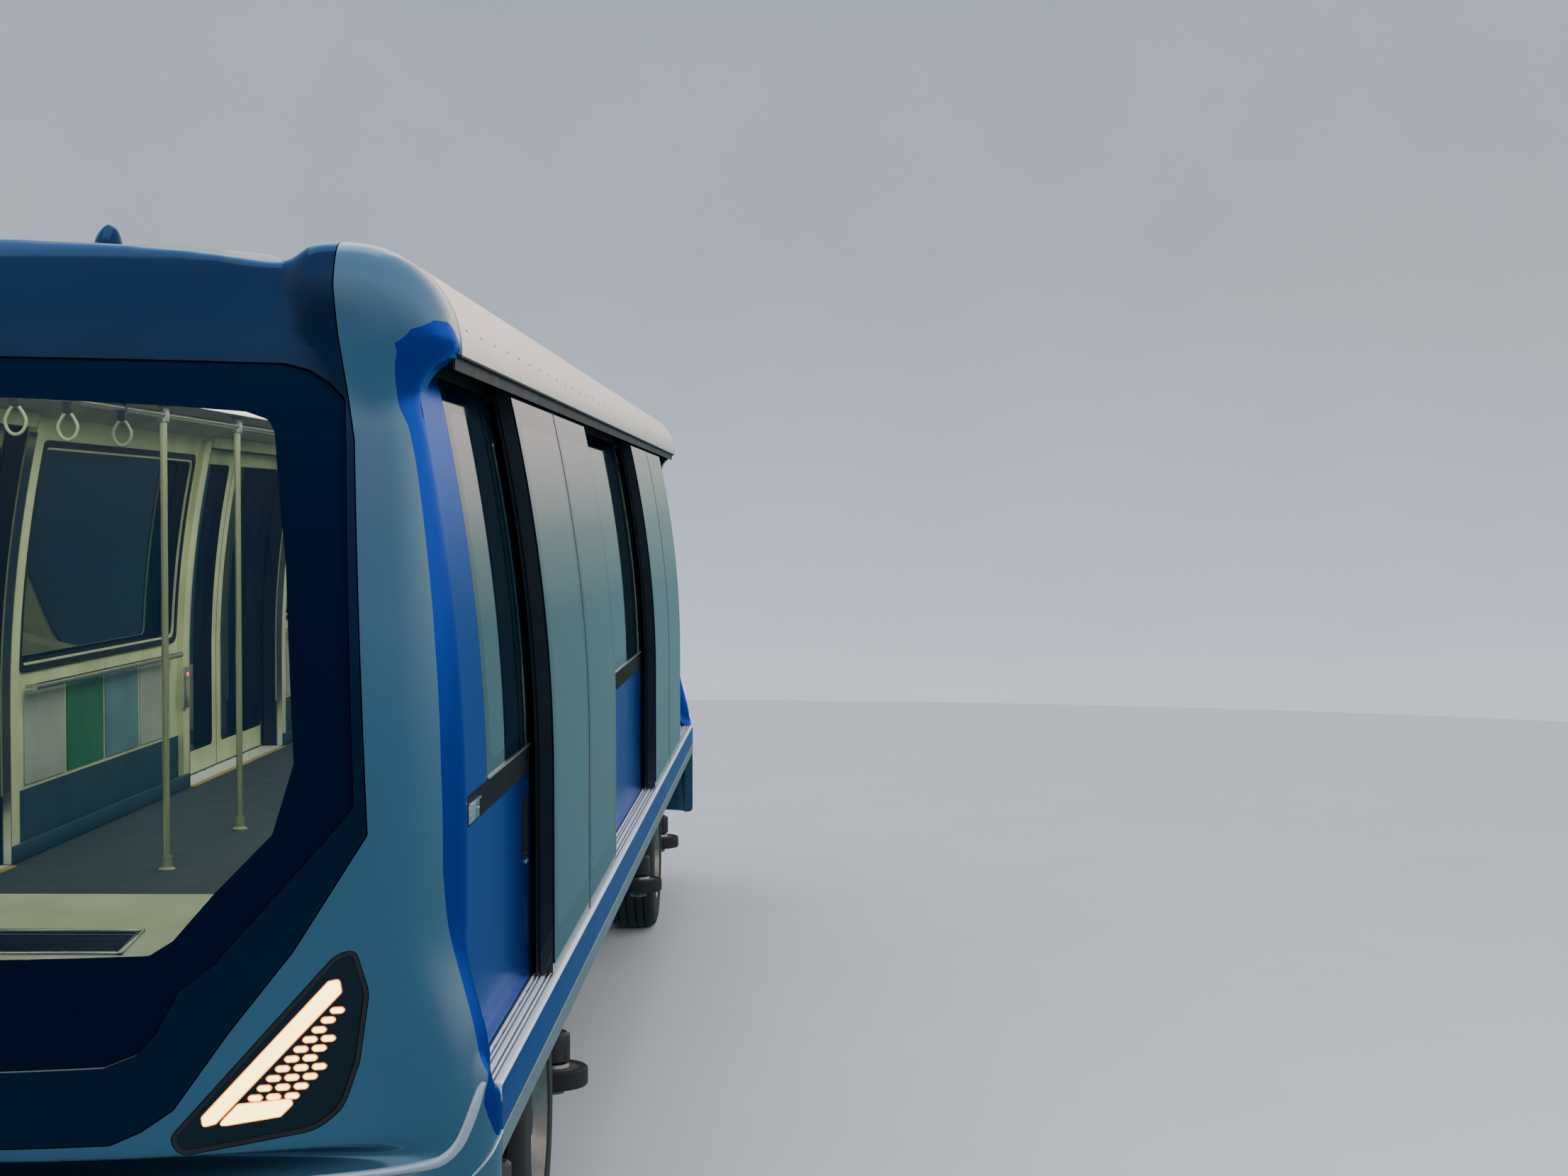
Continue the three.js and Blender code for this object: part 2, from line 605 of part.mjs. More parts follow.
function makeBogieFrame(x) {
  const axle = [x, 0, TYRE_RADIUS];
  const barTop = GUIDE_TOP_Z + 110;
  const barBottom = GUIDE_TOP_Z + 12;
  const parts = [
    bar(95, -985, 985, 12, 'y', axle),
    bar(AXLE_SPIGOT, -1130, 1130, 24, 'y', axle),
    bar(210, -140, 140, 16, 'x', axle),
    box(x - 470, x + 470, -800, 800, 880, 925),
    bar(440, 900, FRAME_BOTTOM_Z - GAP, 24, 'z', [x, 0, 0]),
  ];
  for (const side of [-1, 1]) {
    const armY = side * 820;
    const seatY = side * 600;
    const crossX = x + side * GUIDE_X;
    parts.push(box(x - GUIDE_X - 40, x + GUIDE_X + 40, armY - 45, armY + 45, barBottom, barTop));
    parts.push(box(crossX - 45, crossX + 45, -GUIDE_Y - 60, GUIDE_Y + 60, barBottom, barTop));
    parts.push(box(x - 180, x + 180, seatY - 210, seatY + 210, barBottom + 20, 640));
    parts.push(bar(150, 630, 885, 14, 'z', [x, seatY, 0]));
    for (const end of [-1, 1]) {
      const pin = [x + end * GUIDE_X, side * GUIDE_Y, 0];
      parts.push(bar(GUIDE_PIN, GUIDE_BOTTOM_Z - 14, 500, 12, 'z', pin));
      parts.push(bar(48, GUIDE_BOTTOM_Z - 22, GUIDE_BOTTOM_Z - 6, 12, 'z', pin));
    }
  }
  return union(parts);
}

// Half profile of tyre, rim and hub: [radius, distance from the inner face]
const WHEEL_PROFILE = [[AXLE_BORE, 4], [180, 4], [200, 60], [285, 60], [300, 0], [420, 0], [470, 45],
  [470, 255], [420, 300], [300, 300], [270, 262], [205, 200], [130, 250], [AXLE_BORE, 250]];
const WHEEL_SIDES = 28;

function makeRoadWheel(x, side) {
  const inner = WHEEL_Y - TYRE_WIDTH / 2;
  const profile = WHEEL_PROFILE.map(([radius, along]) => [radius, inner + along]);
  const wheel = turned([...profile, profile[0]], WHEEL_SIDES, 'y', [x, 0, TYRE_RADIUS]);
  return side > 0 ? wheel : mirrorY(wheel);
}

// Half profile of a guide wheel: [radius, distance from its lower face]
const GUIDE_PROFILE = [[GUIDE_BORE, 0], [65, 0], [105, 14], [GUIDE_RADIUS, 14], [GUIDE_RADIUS, 86], [105, 86],
  [65, 100], [GUIDE_BORE, 100]];
const GUIDE_SIDES = 16;

function makeGuideWheel(x, y) {
  const profile = GUIDE_PROFILE.map(([radius, along]) => [radius, GUIDE_BOTTOM_Z + along]);
  return turned([...profile, profile[0]], GUIDE_SIDES, 'z', [x, y, 0]);
}

function makeCoupler() {
  const parts = [
    box(COUPLER_PIVOT_X, 5700, -60, 60, COUPLER_Z - 50, COUPLER_Z + 50),
    bar(100, -COUPLER_EYE / 2, COUPLER_EYE / 2, 20, 'z', [COUPLER_PIVOT_X, 0, COUPLER_Z]),
    box(5680, 5800, -100, 100, COUPLER_Z - 90, COUPLER_Z + 90),
    box(5790, 5890, -140, 140, COUPLER_Z - 120, COUPLER_Z + 120),
  ];
  return union(parts).subtract(bar(COUPLER_PIN + 1.2, -200, 200, 20, 'z', [COUPLER_PIVOT_X, 0, COUPLER_Z]));
}

// The assembly

addNode('underframe', makeUnderframe(), 'steel');
addNode('underfloor_cases', makeUnderfloorCases(), 'steel');
addNode('floor', makeFloor(), 'flooring');
addNode('roof_deck', makeRoofDeck(), 'plastic');

const wall = makeSideWall();
addNode('side_wall_left', wall, 'blue');
addNode('side_wall_right', mirrorY(wall), 'blue');
for (const [place, x0, x1] of WINDOWS) {
  const pane = makePane(x0, x1);
  addNode(`window_${place}_left`, pane, 'glass');
  addNode(`window_${place}_right`, mirrorY(pane), 'glass');
}

const sill = makeSill();
addNode('sill_left', sill, 'aluminium');
addNode('sill_right', mirrorY(sill), 'aluminium');

const fairing = makeFairing();
addNode('roof_fairing_left', fairing, 'silver');
addNode('roof_fairing_right', mirrorY(fairing), 'silver');
addNode('air_conditioner_front', makeAirConditioner(AIR_X), 'plastic');
addNode('air_conditioner_rear', makeAirConditioner(-AIR_X), 'plastic');

const end = makeEnd();
const desk = makeConsole();
const coupler = makeCoupler();
const bracket = makeCouplerBracket();
for (const [place, turn] of [['front', (part) => part], ['rear', halfTurn]]) {
  addNode(`end_cap_${place}`, turn(end.cap), 'slate');
  addNode(`end_mask_${place}`, turn(end.mask), 'mask');
  addNode(`windscreen_${place}`, turn(end.glass), 'glass');
  addNode(`lamp_${place}_left`, turn(place === 'front' ? end.lamp : mirrorY(end.lamp)), 'lamp');
  addNode(`lamp_${place}_right`, turn(place === 'front' ? mirrorY(end.lamp) : end.lamp), 'lamp');
  addNode(`console_${place}`, turn(desk), 'cream');
  addNode(`coupler_${place}`, turn(coupler), 'steel');
  addNode(`coupler_bracket_${place}`, turn(bracket), 'steel');
}

const rails = makeGrabRails();
addNode('grab_rails_right', rails, 'stainless');
addNode('grab_rails_left', halfTurn(rails), 'stainless');

for (const [doorPlace, doorX] of [['front', DOOR_X], ['rear', -DOOR_X]]) {
  for (const [leafPlace, step] of [['fore', 1], ['aft', -1]]) {
    const leaf = makeLeaf(doorX + step * (LEAF_WIDTH / 2 + 1.5));
    addNode(`door_${doorPlace}_left_${leafPlace}`, leaf, 'glass');
    addNode(`door_${doorPlace}_right_${leafPlace}`, mirrorY(leaf), 'glass');
  }
}

for (const [place, x] of [['front', AXLE_X], ['rear', -AXLE_X]]) {
  addNode(`bogie_frame_${place}`, makeBogieFrame(x), 'steel');
  for (const [sideName, side] of [['left', 1], ['right', -1]]) {
    addNode(`road_wheel_${place}_${sideName}`, makeRoadWheel(x, side), 'rubber');
    for (const [guidePlace, step] of [['fore', GUIDE_X], ['aft', -GUIDE_X]]) {
      const guideWheel = makeGuideWheel(x + step, side * GUIDE_Y);
      addNode(`guide_wheel_${place}_${sideName}_${guidePlace}`, guideWheel, 'rubber');
    }
  }
}

export default group;
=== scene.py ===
"""Looks of an automated people mover car: metres, +X the front, +Y the left side, +Z up."""

import math

import bmesh
import bpy
from mathutils import Matrix, Vector
from mathutils.geometry import tessellate_polygon


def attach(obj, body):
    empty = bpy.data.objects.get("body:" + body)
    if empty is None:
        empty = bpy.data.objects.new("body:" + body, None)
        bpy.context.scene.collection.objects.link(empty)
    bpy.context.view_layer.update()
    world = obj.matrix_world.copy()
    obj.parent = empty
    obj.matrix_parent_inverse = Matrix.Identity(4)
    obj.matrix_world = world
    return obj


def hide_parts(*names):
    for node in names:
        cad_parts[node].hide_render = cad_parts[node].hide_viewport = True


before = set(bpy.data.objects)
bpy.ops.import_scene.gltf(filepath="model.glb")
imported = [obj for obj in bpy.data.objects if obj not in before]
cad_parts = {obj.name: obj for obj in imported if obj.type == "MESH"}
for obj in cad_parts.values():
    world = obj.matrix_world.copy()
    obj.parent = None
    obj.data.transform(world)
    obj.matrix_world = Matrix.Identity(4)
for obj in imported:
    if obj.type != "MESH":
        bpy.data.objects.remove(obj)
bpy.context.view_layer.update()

# Driving dimensions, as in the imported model
NOSE_X = 5.9
WALL_END_X = 5.44
SKIRT_END_X = 5.48
FAIRING_END_X = 5.327
GAP = 0.0004
WALL_Y = 1.33
WALL_THICKNESS = 0.09
VERTICAL_TO_Z = 1.75
TUMBLEHOME_RADIUS = 5.7
FLOOR_Z = 1.1
CEILING_Z = 3.12
CROWN_Z = 3.353
SEAM_Y, SEAM_Z = 0.866, 3.292
SILL_Y = 1.425
SILL_BOTTOM_Z = 0.899
FAIRING_Y, FAIRING_Z, FAIRING_RADIUS = 1.02, 3.065, 0.285
RIDGE_Y, RIDGE_Z = 0.915, 3.347
DOOR_X = 2.7
LEAF_WIDTH = 1.297
LEAF_Y = 1.412
LEAF_THICKNESS = 0.062
LEAF_BOTTOM_Z, LEAF_TOP_Z = 1.11, 3.03
DOORWAY_HALF = 1.18
DOORWAY_TOP_Z = 3.0
PANE_BOTTOM_Z, PANE_TOP_Z = 1.865, 3.01
AXLE_X = 3.4
WHEEL_Y = 1.15
TYRE_RADIUS, TYRE_WIDTH = 0.47, 0.3
GUIDE_X, GUIDE_Y, GUIDE_Z, GUIDE_RADIUS = 0.95, 1.24, 0.41, 0.14

SIDES = {"left": 1, "right": -1}
ENDS = {"front": 1, "rear": -1}
HALF_TURN = Matrix.Rotation(math.pi, 4, "Z")
MIRROR_Y = Matrix.Scale(-1, 4, (0, 1, 0))
STAY = Matrix.Identity(4)
END_TURNS = {"front": STAY, "rear": HALF_TURN}
UP, OUTWARD, FORWARD = (0, 0, 1), (0, 1, 0), (1, 0, 0)
ORIGIN = (0, 0, 0)

# How near two things count as one: points, corners of an outline, cuts
NEAR, ON_CENTRELINE, NEAR_CUT = 1e-6, 1e-9, 1e-5
FLAT_ANGLE = 0.001


# Materials

def map_range(tree, value, source, target):
    """A value's range spread over another. Both are (low, high)."""
    made = tree.nodes.new("ShaderNodeMapRange")
    for label, limit in zip(("From Min", "From Max", "To Min", "To Max"), (*source, *target)):
        made.inputs[label].default_value = limit
    tree.links.new(value, made.inputs["Value"])
    return made.outputs["Result"]


def colour_ramp(tree, value, stops):
    """Colours at places along a 0 to 1 value."""
    made = tree.nodes.new("ShaderNodeValToRGB")
    elements = made.color_ramp.elements
    for position, _ in stops[1:-1]:
        elements.new(position)
    for element, (position, color) in zip(elements, stops):
        element.position = position
        element.color = (*color, 1)
    tree.links.new(value, made.inputs["Fac"])
    return made.outputs["Color"]


def blended(tree, shares, under, over):
    """A colour over another, by the product of two shares."""
    share = tree.nodes.new("ShaderNodeMath")
    share.operation = "MULTIPLY"
    for value, socket in zip(shares, share.inputs):
        tree.links.new(value, socket)
    mix = tree.nodes.new("ShaderNodeMix")
    mix.data_type = "RGBA"
    tree.links.new(share.outputs["Value"], mix.inputs["Factor"])
    tree.links.new(under, mix.inputs["A"])
    mix.inputs["B"].default_value = (*over, 1)
    return mix.outputs["Result"]


class Paint:
    """A Principled material with helpers that add variation from the surface's own place."""

    def __init__(self, name):
        self.material = bpy.data.materials.new(name)
        self.material.use_nodes = True
        self.tree = self.material.node_tree
        self.shader = self.tree.nodes["Principled BSDF"]
        self.place = self.node("ShaderNodeTexCoord").outputs["Object"]

    def node(self, kind, **values):
        """A node with its inputs set by name, with _ for a space."""
        made = self.tree.nodes.new(kind)
        for key, value in values.items():
            made.inputs[key.replace("_", " ")].default_value = value
        return made

    def link(self, start, end):
        self.tree.links.new(start, end)

    def set(self, **values):
        for key, value in values.items():
            self.shader.inputs[key.replace("_", " ")].default_value = value

    def stretched(self, scale):
        """The place, scaled along each axis, so that a texture can run along one of them."""
        mapping = self.node("ShaderNodeMapping", Scale=scale)
        self.link(self.place, mapping.inputs["Vector"])
        return mapping.outputs["Vector"]

    def noise(self, scale, detail=4.0, stretch=(1, 1, 1)):
        made = self.node("ShaderNodeTexNoise", Scale=scale, Detail=detail)
        self.link(self.stretched(stretch), made.inputs["Vector"])
        return made.outputs["Fac"]

    def ramp(self, value, stops):
        """A ramp of colours as the base colour."""
        color = colour_ramp(self.tree, value, stops)
        self.link(color, self.shader.inputs["Base Color"])
        return color

    def colour(self, base, spread=0.12, scale=3.0, stretch=(1, 1, 1)):
        """The base colour, a little darker and lighter in soft patches."""
        dark = tuple(c * (1 - spread) for c in base)
        light = tuple(min(1, c * (1 + spread)) for c in base)
        return self.ramp(self.noise(scale, 5, stretch), [(0.35, dark), (0.65, light)])

    def dirt(self, color, dirt_color, low_z, high_z, most):
        """Road dust that thins out between two heights, over the colour."""
        split = self.node("ShaderNodeSeparateXYZ")
        self.link(self.place, split.inputs["Vector"])
        height = map_range(self.tree, split.outputs["Z"], (low_z, high_z), (most, 0))
        patches = self.noise(7, 6, (0.4, 0.4, 1.5))
        self.link(blended(self.tree, (height, patches), color, dirt_color), self.shader.inputs["Base Color"])

    def rough(self, low, high, scale=6.0, stretch=(1, 1, 1)):
        value = map_range(self.tree, self.noise(scale, 6, stretch), (0, 1), (low, high))
        self.link(value, self.shader.inputs["Roughness"])

    def bump(self, strength, distance, scale, detail=3.0, stretch=(1, 1, 1)):
        made = self.node("ShaderNodeBump", Strength=strength, Distance=distance)
        self.link(self.noise(scale, detail, stretch), made.inputs["Height"])
        self.link(made.outputs["Normal"], self.shader.inputs["Normal"])


DUST = (0.11, 0.095, 0.08)
ROAD_DIRT, DIRT_LOW_Z, DIRT_HIGH_Z, DIRT_MOST = (0.05, 0.05, 0.048), 0.5, 1.15, 0.35


def body_paint(name, base, metallic, rough, coat=0.7, tint=(1, 1, 1)):
    paint = Paint(name)
    color = paint.colour(base, 0.07, 1.3)
    paint.dirt(color, ROAD_DIRT, DIRT_LOW_Z, DIRT_HIGH_Z, DIRT_MOST)
    paint.set(Metallic=metallic, Coat_Weight=coat, Coat_Roughness=0.09, Specular_Tint=(*tint, 1))
    paint.rough(rough * 0.8, rough * 1.25, 2.5)
    paint.bump(0.03, 0.0006, 40, 1)
    return paint.material


def plain(name, base, rough, metallic=0.0, spread=0.12, grain=(0.15, 0.0008, 300), stretch=(1, 1, 1),
          **values):
    """A mottled surface with a fine grain: (strength, depth, scale)."""
    paint = Paint(name)
    paint.colour(base, spread, 4, stretch)
    paint.set(Metallic=metallic, **values)
    paint.rough(rough * 0.8, min(1, rough * 1.2), 8, stretch)
    paint.bump(*grain, stretch=stretch)
    return paint.material


def gloss(name, base, rough=0.06, coat=1.0, spread=0.08, specular=0.5, metallic=0.0, tint=(1, 1, 1)):
    paint = Paint(name)
    paint.colour(base, spread, 1.5)
    paint.set(Coat_Weight=coat, Coat_Roughness=0.03, Specular_IOR_Level=specular, Metallic=metallic,
              Specular_Tint=(*tint, 1))
    paint.rough(rough * 0.7, rough * 1.4, 3)
    return paint.material


def glass(name, base, alpha, rough=0.02):
    paint = Paint(name)
    paint.colour(base, 0.1, 0.8)
    paint.set(Alpha=alpha, IOR=1.5, Coat_Weight=0.15, Coat_Roughness=0.0)
    paint.rough(rough * 0.5, rough * 2, 1.2)
    paint.bump(0.05, 0.002, 1.6, 1)
    return paint.material


def lit(name, color, strength):
    paint = Paint(name)
    paint.colour(color, 0.03, 30)
    paint.set(Emission_Color=(*color, 1), Emission_Strength=strength, Roughness=0.4)
    return paint.material


def grimy(name, base, rough, metallic=0.0):
    """Painted or bare steel under the floor, with dust and darker oily patches."""
    paint = Paint(name)
    paint.ramp(paint.noise(5, 8), [(0.3, tuple(c * 0.5 for c in base)), (0.55, base), (0.8, DUST)])
    paint.set(Metallic=metallic)
    paint.rough(rough * 0.7, min(1, rough * 1.3), 9)
    paint.bump(0.3, 0.0015, 90, 5)
    return paint.material


SLATE = body_paint("slate_paint", (0.056, 0.14, 0.21), 0.45, 0.27, 0.75, (0.6, 0.85, 1.0))
# A pale paint that is a painted highlight: on the apron's bead, and on the mask's reveal round the windscreen
HIGHLIGHT_PAINT = body_paint("pale_highlight_paint", (0.42, 0.50, 0.55), 0.4, 0.25, 0.6)
BLUE = body_paint("blue_paint", (0.009, 0.055, 0.40), 0.88, 0.24, 0.08, (0.3, 0.5, 1.0))
# Silver paint with a warm, pinkish tint: the silver is the fairings' own, the pinkish tint a painted
# reflection of the sky
SILVER_WITH_PAINTED_REFLECTION = body_paint("silver_paint_painted_reflection", (1.0, 0.87, 0.79), 0.88, 0.17, 0.5)
# A dark, dull paint: the dark band under the side windows is its real colour; beside the doorways and at the
# leaves' far edges it is painted shade in the gaps
DARK_BAND_AND_SHADE = gloss("window_strip", (0.003, 0.006, 0.008), 0.6, 0.0, specular=0.08)
LIP_GREY = body_paint("lip_grey", (0.20, 0.215, 0.22), 0.5, 0.35, 0.3)
MASK = gloss("mask_gloss", (0.011, 0.028, 0.062), 0.12, 0.0, specular=0.3, metallic=0.8, tint=(0.5, 0.7, 1.0))
FRIT = gloss("frit_black", (0.0004, 0.004, 0.017), 0.04, 0.0, specular=0.22, tint=(0.1, 0.45, 1.0))
SCREEN = glass("windscreen_glass", (0.0005, 0.012, 0.032), 0.3)
SIDE_GLASS = glass("side_glass", (0.002, 0.013, 0.022), 0.95)
SEAL = plain("black_seal", (0.012, 0.0125, 0.014), 0.55, grain=(0.2, 0.0006, 500))
LEAF_FRAME = plain("leaf_frame", (0.014, 0.016, 0.019), 0.3, 0.2, Coat_Weight=0.4)
LEDGE = plain("ledge_aluminium", (0.97, 0.98, 0.99), 0.35, 0.2, 0.08, (0.25, 0.0006, 60), (0.05, 14, 14))
TRIM = plain("trim_aluminium", (0.72, 0.73, 0.74), 0.22, 0.95, 0.05, (0.1, 0.0004, 60), (0.05, 9, 9))
DARK_GROOVE_FLOOR = plain("dark_groove_floor", (0.05, 0.052, 0.055), 0.8, grain=(0.5, 0.001, 420))
DARK_STEEL = grimy("dark_steel", (0.035, 0.037, 0.04), 0.55, 0.3)
CASE_PAINT = grimy("case_paint", (0.10, 0.105, 0.108), 0.5)
BARE_STEEL = grimy("bare_steel", (0.30, 0.29, 0.27), 0.35, 0.85)
STAINLESS = plain("stainless", (0.66, 0.67, 0.66), 0.25, 1.0, 0.05, (0.08, 0.0003, 200), (1, 1, 0.05))
CREAM = plain("cream_lining", (0.74, 0.76, 0.44), 0.5, grain=(0.12, 0.0006, 380))
CEILING = plain("ceiling_lining", (0.62, 0.62, 0.56), 0.6, grain=(0.1, 0.0005, 300))
DADO = plain("dado_lining", (0.03, 0.07, 0.105), 0.7, grain=(0.25, 0.0008, 450))
RUBBER = plain("tyre_rubber", (0.02, 0.0195, 0.019), 0.85, grain=(0.35, 0.001, 260))
BELLOWS = plain("bellows_rubber", (0.016, 0.016, 0.017), 0.65, grain=(0.2, 0.0008, 300))
ROOF_PANEL = plain("roof_panel", (0.42, 0.44, 0.45), 0.55, grain=(0.25, 0.0012, 180))
UNIT_PANEL = plain("unit_panel", (0.55, 0.56, 0.55), 0.5, grain=(0.2, 0.001, 200))
LAMP_BODY = gloss("lamp_body", (0.004, 0.006, 0.009), 0.1, 0.4)
HEADLIGHT = lit("headlight_glow", (1.0, 0.74, 0.2), 5.5)
# A faint orange glow round each lit window of the headlamps: painted glow, light spilling from the lamps
PAINTED_LAMP_GLOW = lit("painted_lamp_glow", (1.0, 0.30, 0.02), 0.8)
TAIL_LENS = gloss("tail_lens", (0.16, 0.006, 0.008), 0.12)
CEILING_LIGHT = lit("ceiling_light", (0.95, 1.0, 0.80), 4.0)
CALL_LIGHT = lit("call_light", (1.0, 0.05, 0.04), 6.0)
WHITE_GRIP = plain("white_grip", (0.40, 0.42, 0.26), 0.45)
POLE_STEEL = plain("pole_steel", (0.80, 0.82, 0.52), 0.25, 0.7, 0.05, (0.02, 0.0001, 60), (1, 1, 0.05))
WEBBING = plain("webbing", (0.035, 0.037, 0.04), 0.85, grain=(0.5, 0.001, 700))
RED_HANDLE = gloss("red_handle", (0.45, 0.015, 0.012), 0.3, 0.3)
PANEL_GREEN = plain("panel_green", (0.03, 0.20, 0.09), 0.5)
PANEL_BLUE = plain("panel_blue", (0.14, 0.27, 0.33), 0.5)
PANEL_YELLOW = plain("panel_yellow", (0.50, 0.34, 0.08), 0.5)
PANEL_PALE = plain("panel_pale", (0.45, 0.47, 0.42), 0.5)
BRAKE_DISC = plain("brake_disc", (0.28, 0.26, 0.24), 0.35, 0.9, 0.15, (0.3, 0.0006, 200), (1, 1, 1))


def floor_material():
    """Dark blue-grey vinyl with pale and dark flecks."""
    paint = Paint("floor_covering")
    cells = paint.node("ShaderNodeTexVoronoi", Scale=160)
    paint.link(paint.place, cells.inputs["Vector"])
    pale, middle, dark = (0.19, 0.21, 0.21), (0.055, 0.07, 0.078), (0.045, 0.058, 0.066)
    paint.ramp(cells.outputs["Distance"], [(0.08, pale), (0.16, middle), (0.8, dark)])
    paint.rough(0.45, 0.75, 5)
    paint.bump(0.15, 0.0006, 240, 2)
    return paint.material


FLOORING = floor_material()


# Meshes

def finish_mesh(obj, angle=35):
    obj.data.polygons.foreach_set("use_smooth", [True] * len(obj.data.polygons))
    obj.data.set_sharp_from_angle(angle=math.radians(angle))
    obj.data.update()
    return obj


def as_object(name, mesh, material=None):
    obj = bpy.data.objects.new(name, mesh)
    bpy.context.scene.collection.objects.link(obj)
    if material:
        mesh.materials.clear()
        mesh.materials.append(material)
    return obj


def from_bmesh(name, made, material=None):
    mesh = bpy.data.meshes.new(name)
    bmesh.ops.recalc_face_normals(made, faces=made.faces)
    made.to_mesh(mesh)
    made.free()
    return as_object(name, mesh, material)


def drop(*objects):
    for obj in objects:
        bpy.data.objects.remove(obj, do_unlink=True)


def evaluated_mesh(obj):
    graph = bpy.context.evaluated_depsgraph_get()
    return bpy.data.meshes.new_from_object(obj.evaluated_get(graph))


def modified(obj, kind, **values):
    """The object with one modifier, applied."""
    modifier = obj.modifiers.new(kind.lower(), kind)
    for key, value in values.items():
        setattr(modifier, key, value)
    mesh = evaluated_mesh(obj)
    obj.modifiers.clear()
    obj.data = mesh
    return obj


def cut(obj, other, operation="DIFFERENCE"):
    """Boolean of one object with another, which is then removed."""
    modified(obj, "BOOLEAN", operation=operation, object=other, solver="MANIFOLD")
    drop(other)
    return obj


def refilled(obj, made, materials):
    """The object with a bmesh for its mesh, and new materials."""
    obj.data.materials.clear()
    for material in materials:
        obj.data.materials.append(material)
    made.to_mesh(obj.data)
    made.free()
    return obj


def copy_of(obj, name=None):
    made = obj.copy()
    made.data = obj.data.copy()
    made.name = name or obj.name + "_copy"
    bpy.context.scene.collection.objects.link(made)
    return made


def joined(name, objects):
    """Several objects as one mesh, each keeping its materials."""
    made = bmesh.new()
    materials = []
    for obj in objects:
        start = len(made.faces)
        made.from_mesh(obj.data)
        made.faces.ensure_lookup_table()
        slots = list(obj.data.materials)
        for face in made.faces[start:] if slots else ():
            material = slots[face.material_index]
            if material not in materials:
                materials.append(material)
            face.material_index = materials.index(material)
    mesh = bpy.data.meshes.new(name)
    made.to_mesh(mesh)
    made.free()
    drop(*objects)
    obj = as_object(name, mesh)
    for material in materials:
        mesh.materials.append(material)
    return obj


def transformed(obj, matrix):
    obj.data.transform(matrix)
    if matrix.determinant() < 0:
        obj.data.flip_normals()
    return obj


def painted(obj, material):
    obj.data.materials.clear()
    obj.data.materials.append(material)
    obj.data.polygons.foreach_set("material_index", [0] * len(obj.data.polygons))
    return obj


def placed(obj, body, replaces=(), angle=35):
    """Finishes a piece: smooth shading, the body it rides on and what it stands for."""
    finish_mesh(obj, angle)
    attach(obj, body)
    if replaces:
        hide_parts(*replaces)


def placed_twice(obj, name, body, replaces, angle=35, turns=END_TURNS):
    """A piece made for one place and its half-turned copy. {} in a name stands for the place."""
    for place, turn in turns.items():
        made = transformed(copy_of(obj, name.format(place)), turn)
        placed(made, body.format(place), [replaces.format(place)], angle)
    drop(obj)


def prism(name, outline, start, end, axis, material=None):
    """A closed outline carried along x or y. Outline points are the other two axes, in x, y, z order."""
    made = bmesh.new()

    def corner(u, v, along):
        return (along, u, v) if axis == "x" else (u, along, v)

    low = [made.verts.new(corner(u, v, start)) for u, v in outline]
    high = [made.verts.new(corner(u, v, end)) for u, v in outline]
    count = len(outline)
    for i in range(count):
        made.faces.new((low[i], low[(i + 1) % count], high[(i + 1) % count], high[i]))
    for a, b, c in tessellate_polygon([[Vector((u, v, 0)) for u, v in outline]]):
        made.faces.new((low[a], low[b], low[c]))
        made.faces.new((high[c], high[b], high[a]))
    bmesh.ops.dissolve_limit(made, angle_limit=FLAT_ANGLE, verts=made.verts, edges=made.edges)
    return from_bmesh(name, made, material)


def block(name, low, high, material=None, bevel=0.0, segments=2):
    made = bmesh.new()
    bmesh.ops.create_cube(made, size=1)
    size = Vector(high) - Vector(low)
    centre = (Vector(high) + Vector(low)) / 2
    bmesh.ops.transform(made, matrix=Matrix.Translation(centre) @ Matrix.Diagonal((*size, 1)),
                        verts=made.verts)
    if bevel:
        bmesh.ops.bevel(made, geom=made.edges[:], offset=bevel, segments=segments, profile=0.5,
                        affect="EDGES")
    return from_bmesh(name, made, material)


def lathe(name, profile, axis, place, sides=64, material=None, closed=False):
    """A profile of (radius, along) points turned about an axis through a place."""
    made = bmesh.new()
    rings = []
    for i in range(sides):
        turn = 2 * math.pi * i / sides
        ring = []
        for radius, along in profile:
            across, up = radius * math.cos(turn), radius * math.sin(turn)
            point = {"x": (along, across, up), "y": (up, along, across), "z": (across, up, along)}[axis]
            ring.append(made.verts.new(Vector(place) + Vector(point)))
        rings.append(ring)
    count = len(profile)
    last = count if closed else count - 1
    for i in range(sides):
        here, after = rings[i], rings[(i + 1) % sides]
        for j in range(last):
            k = (j + 1) % count
            made.faces.new((here[j], here[k], after[k], after[j]))
    bmesh.ops.remove_doubles(made, verts=made.verts, dist=NEAR)
    return from_bmesh(name, made, material)


def rod(name, start, end, radius, material=None, sides=16):
    start, end = Vector(start), Vector(end)
    made = bmesh.new()
    bmesh.ops.create_cone(made, cap_ends=True, segments=sides, radius1=radius, radius2=radius,
                          depth=(end - start).length)
    turn = (end - start).to_track_quat("Z", "Y").to_matrix().to_4x4()
    bmesh.ops.transform(made, matrix=Matrix.Translation((start + end) / 2) @ turn, verts=made.verts)
    return from_bmesh(name, made, material)


def pipe(name, points, radius, material, sides=10, closed=False):
    """A round tube along a line of points."""
    curve = bpy.data.curves.new(name, "CURVE")
    curve.dimensions = "3D"
    curve.bevel_depth = radius
    curve.bevel_resolution = max(1, sides // 4 - 1)
    curve.use_fill_caps = True
    spline = curve.splines.new("POLY")
    spline.points.add(len(points) - 1)
    for point, place in zip(spline.points, points):
        point.co = (*place, 1)
    spline.use_cyclic_u = closed
    obj = bpy.data.objects.new(name, curve)
    bpy.context.scene.collection.objects.link(obj)
    mesh = evaluated_mesh(obj)
    drop(obj)
    return as_object(name, mesh, material)


DOME_TOP = 0.6


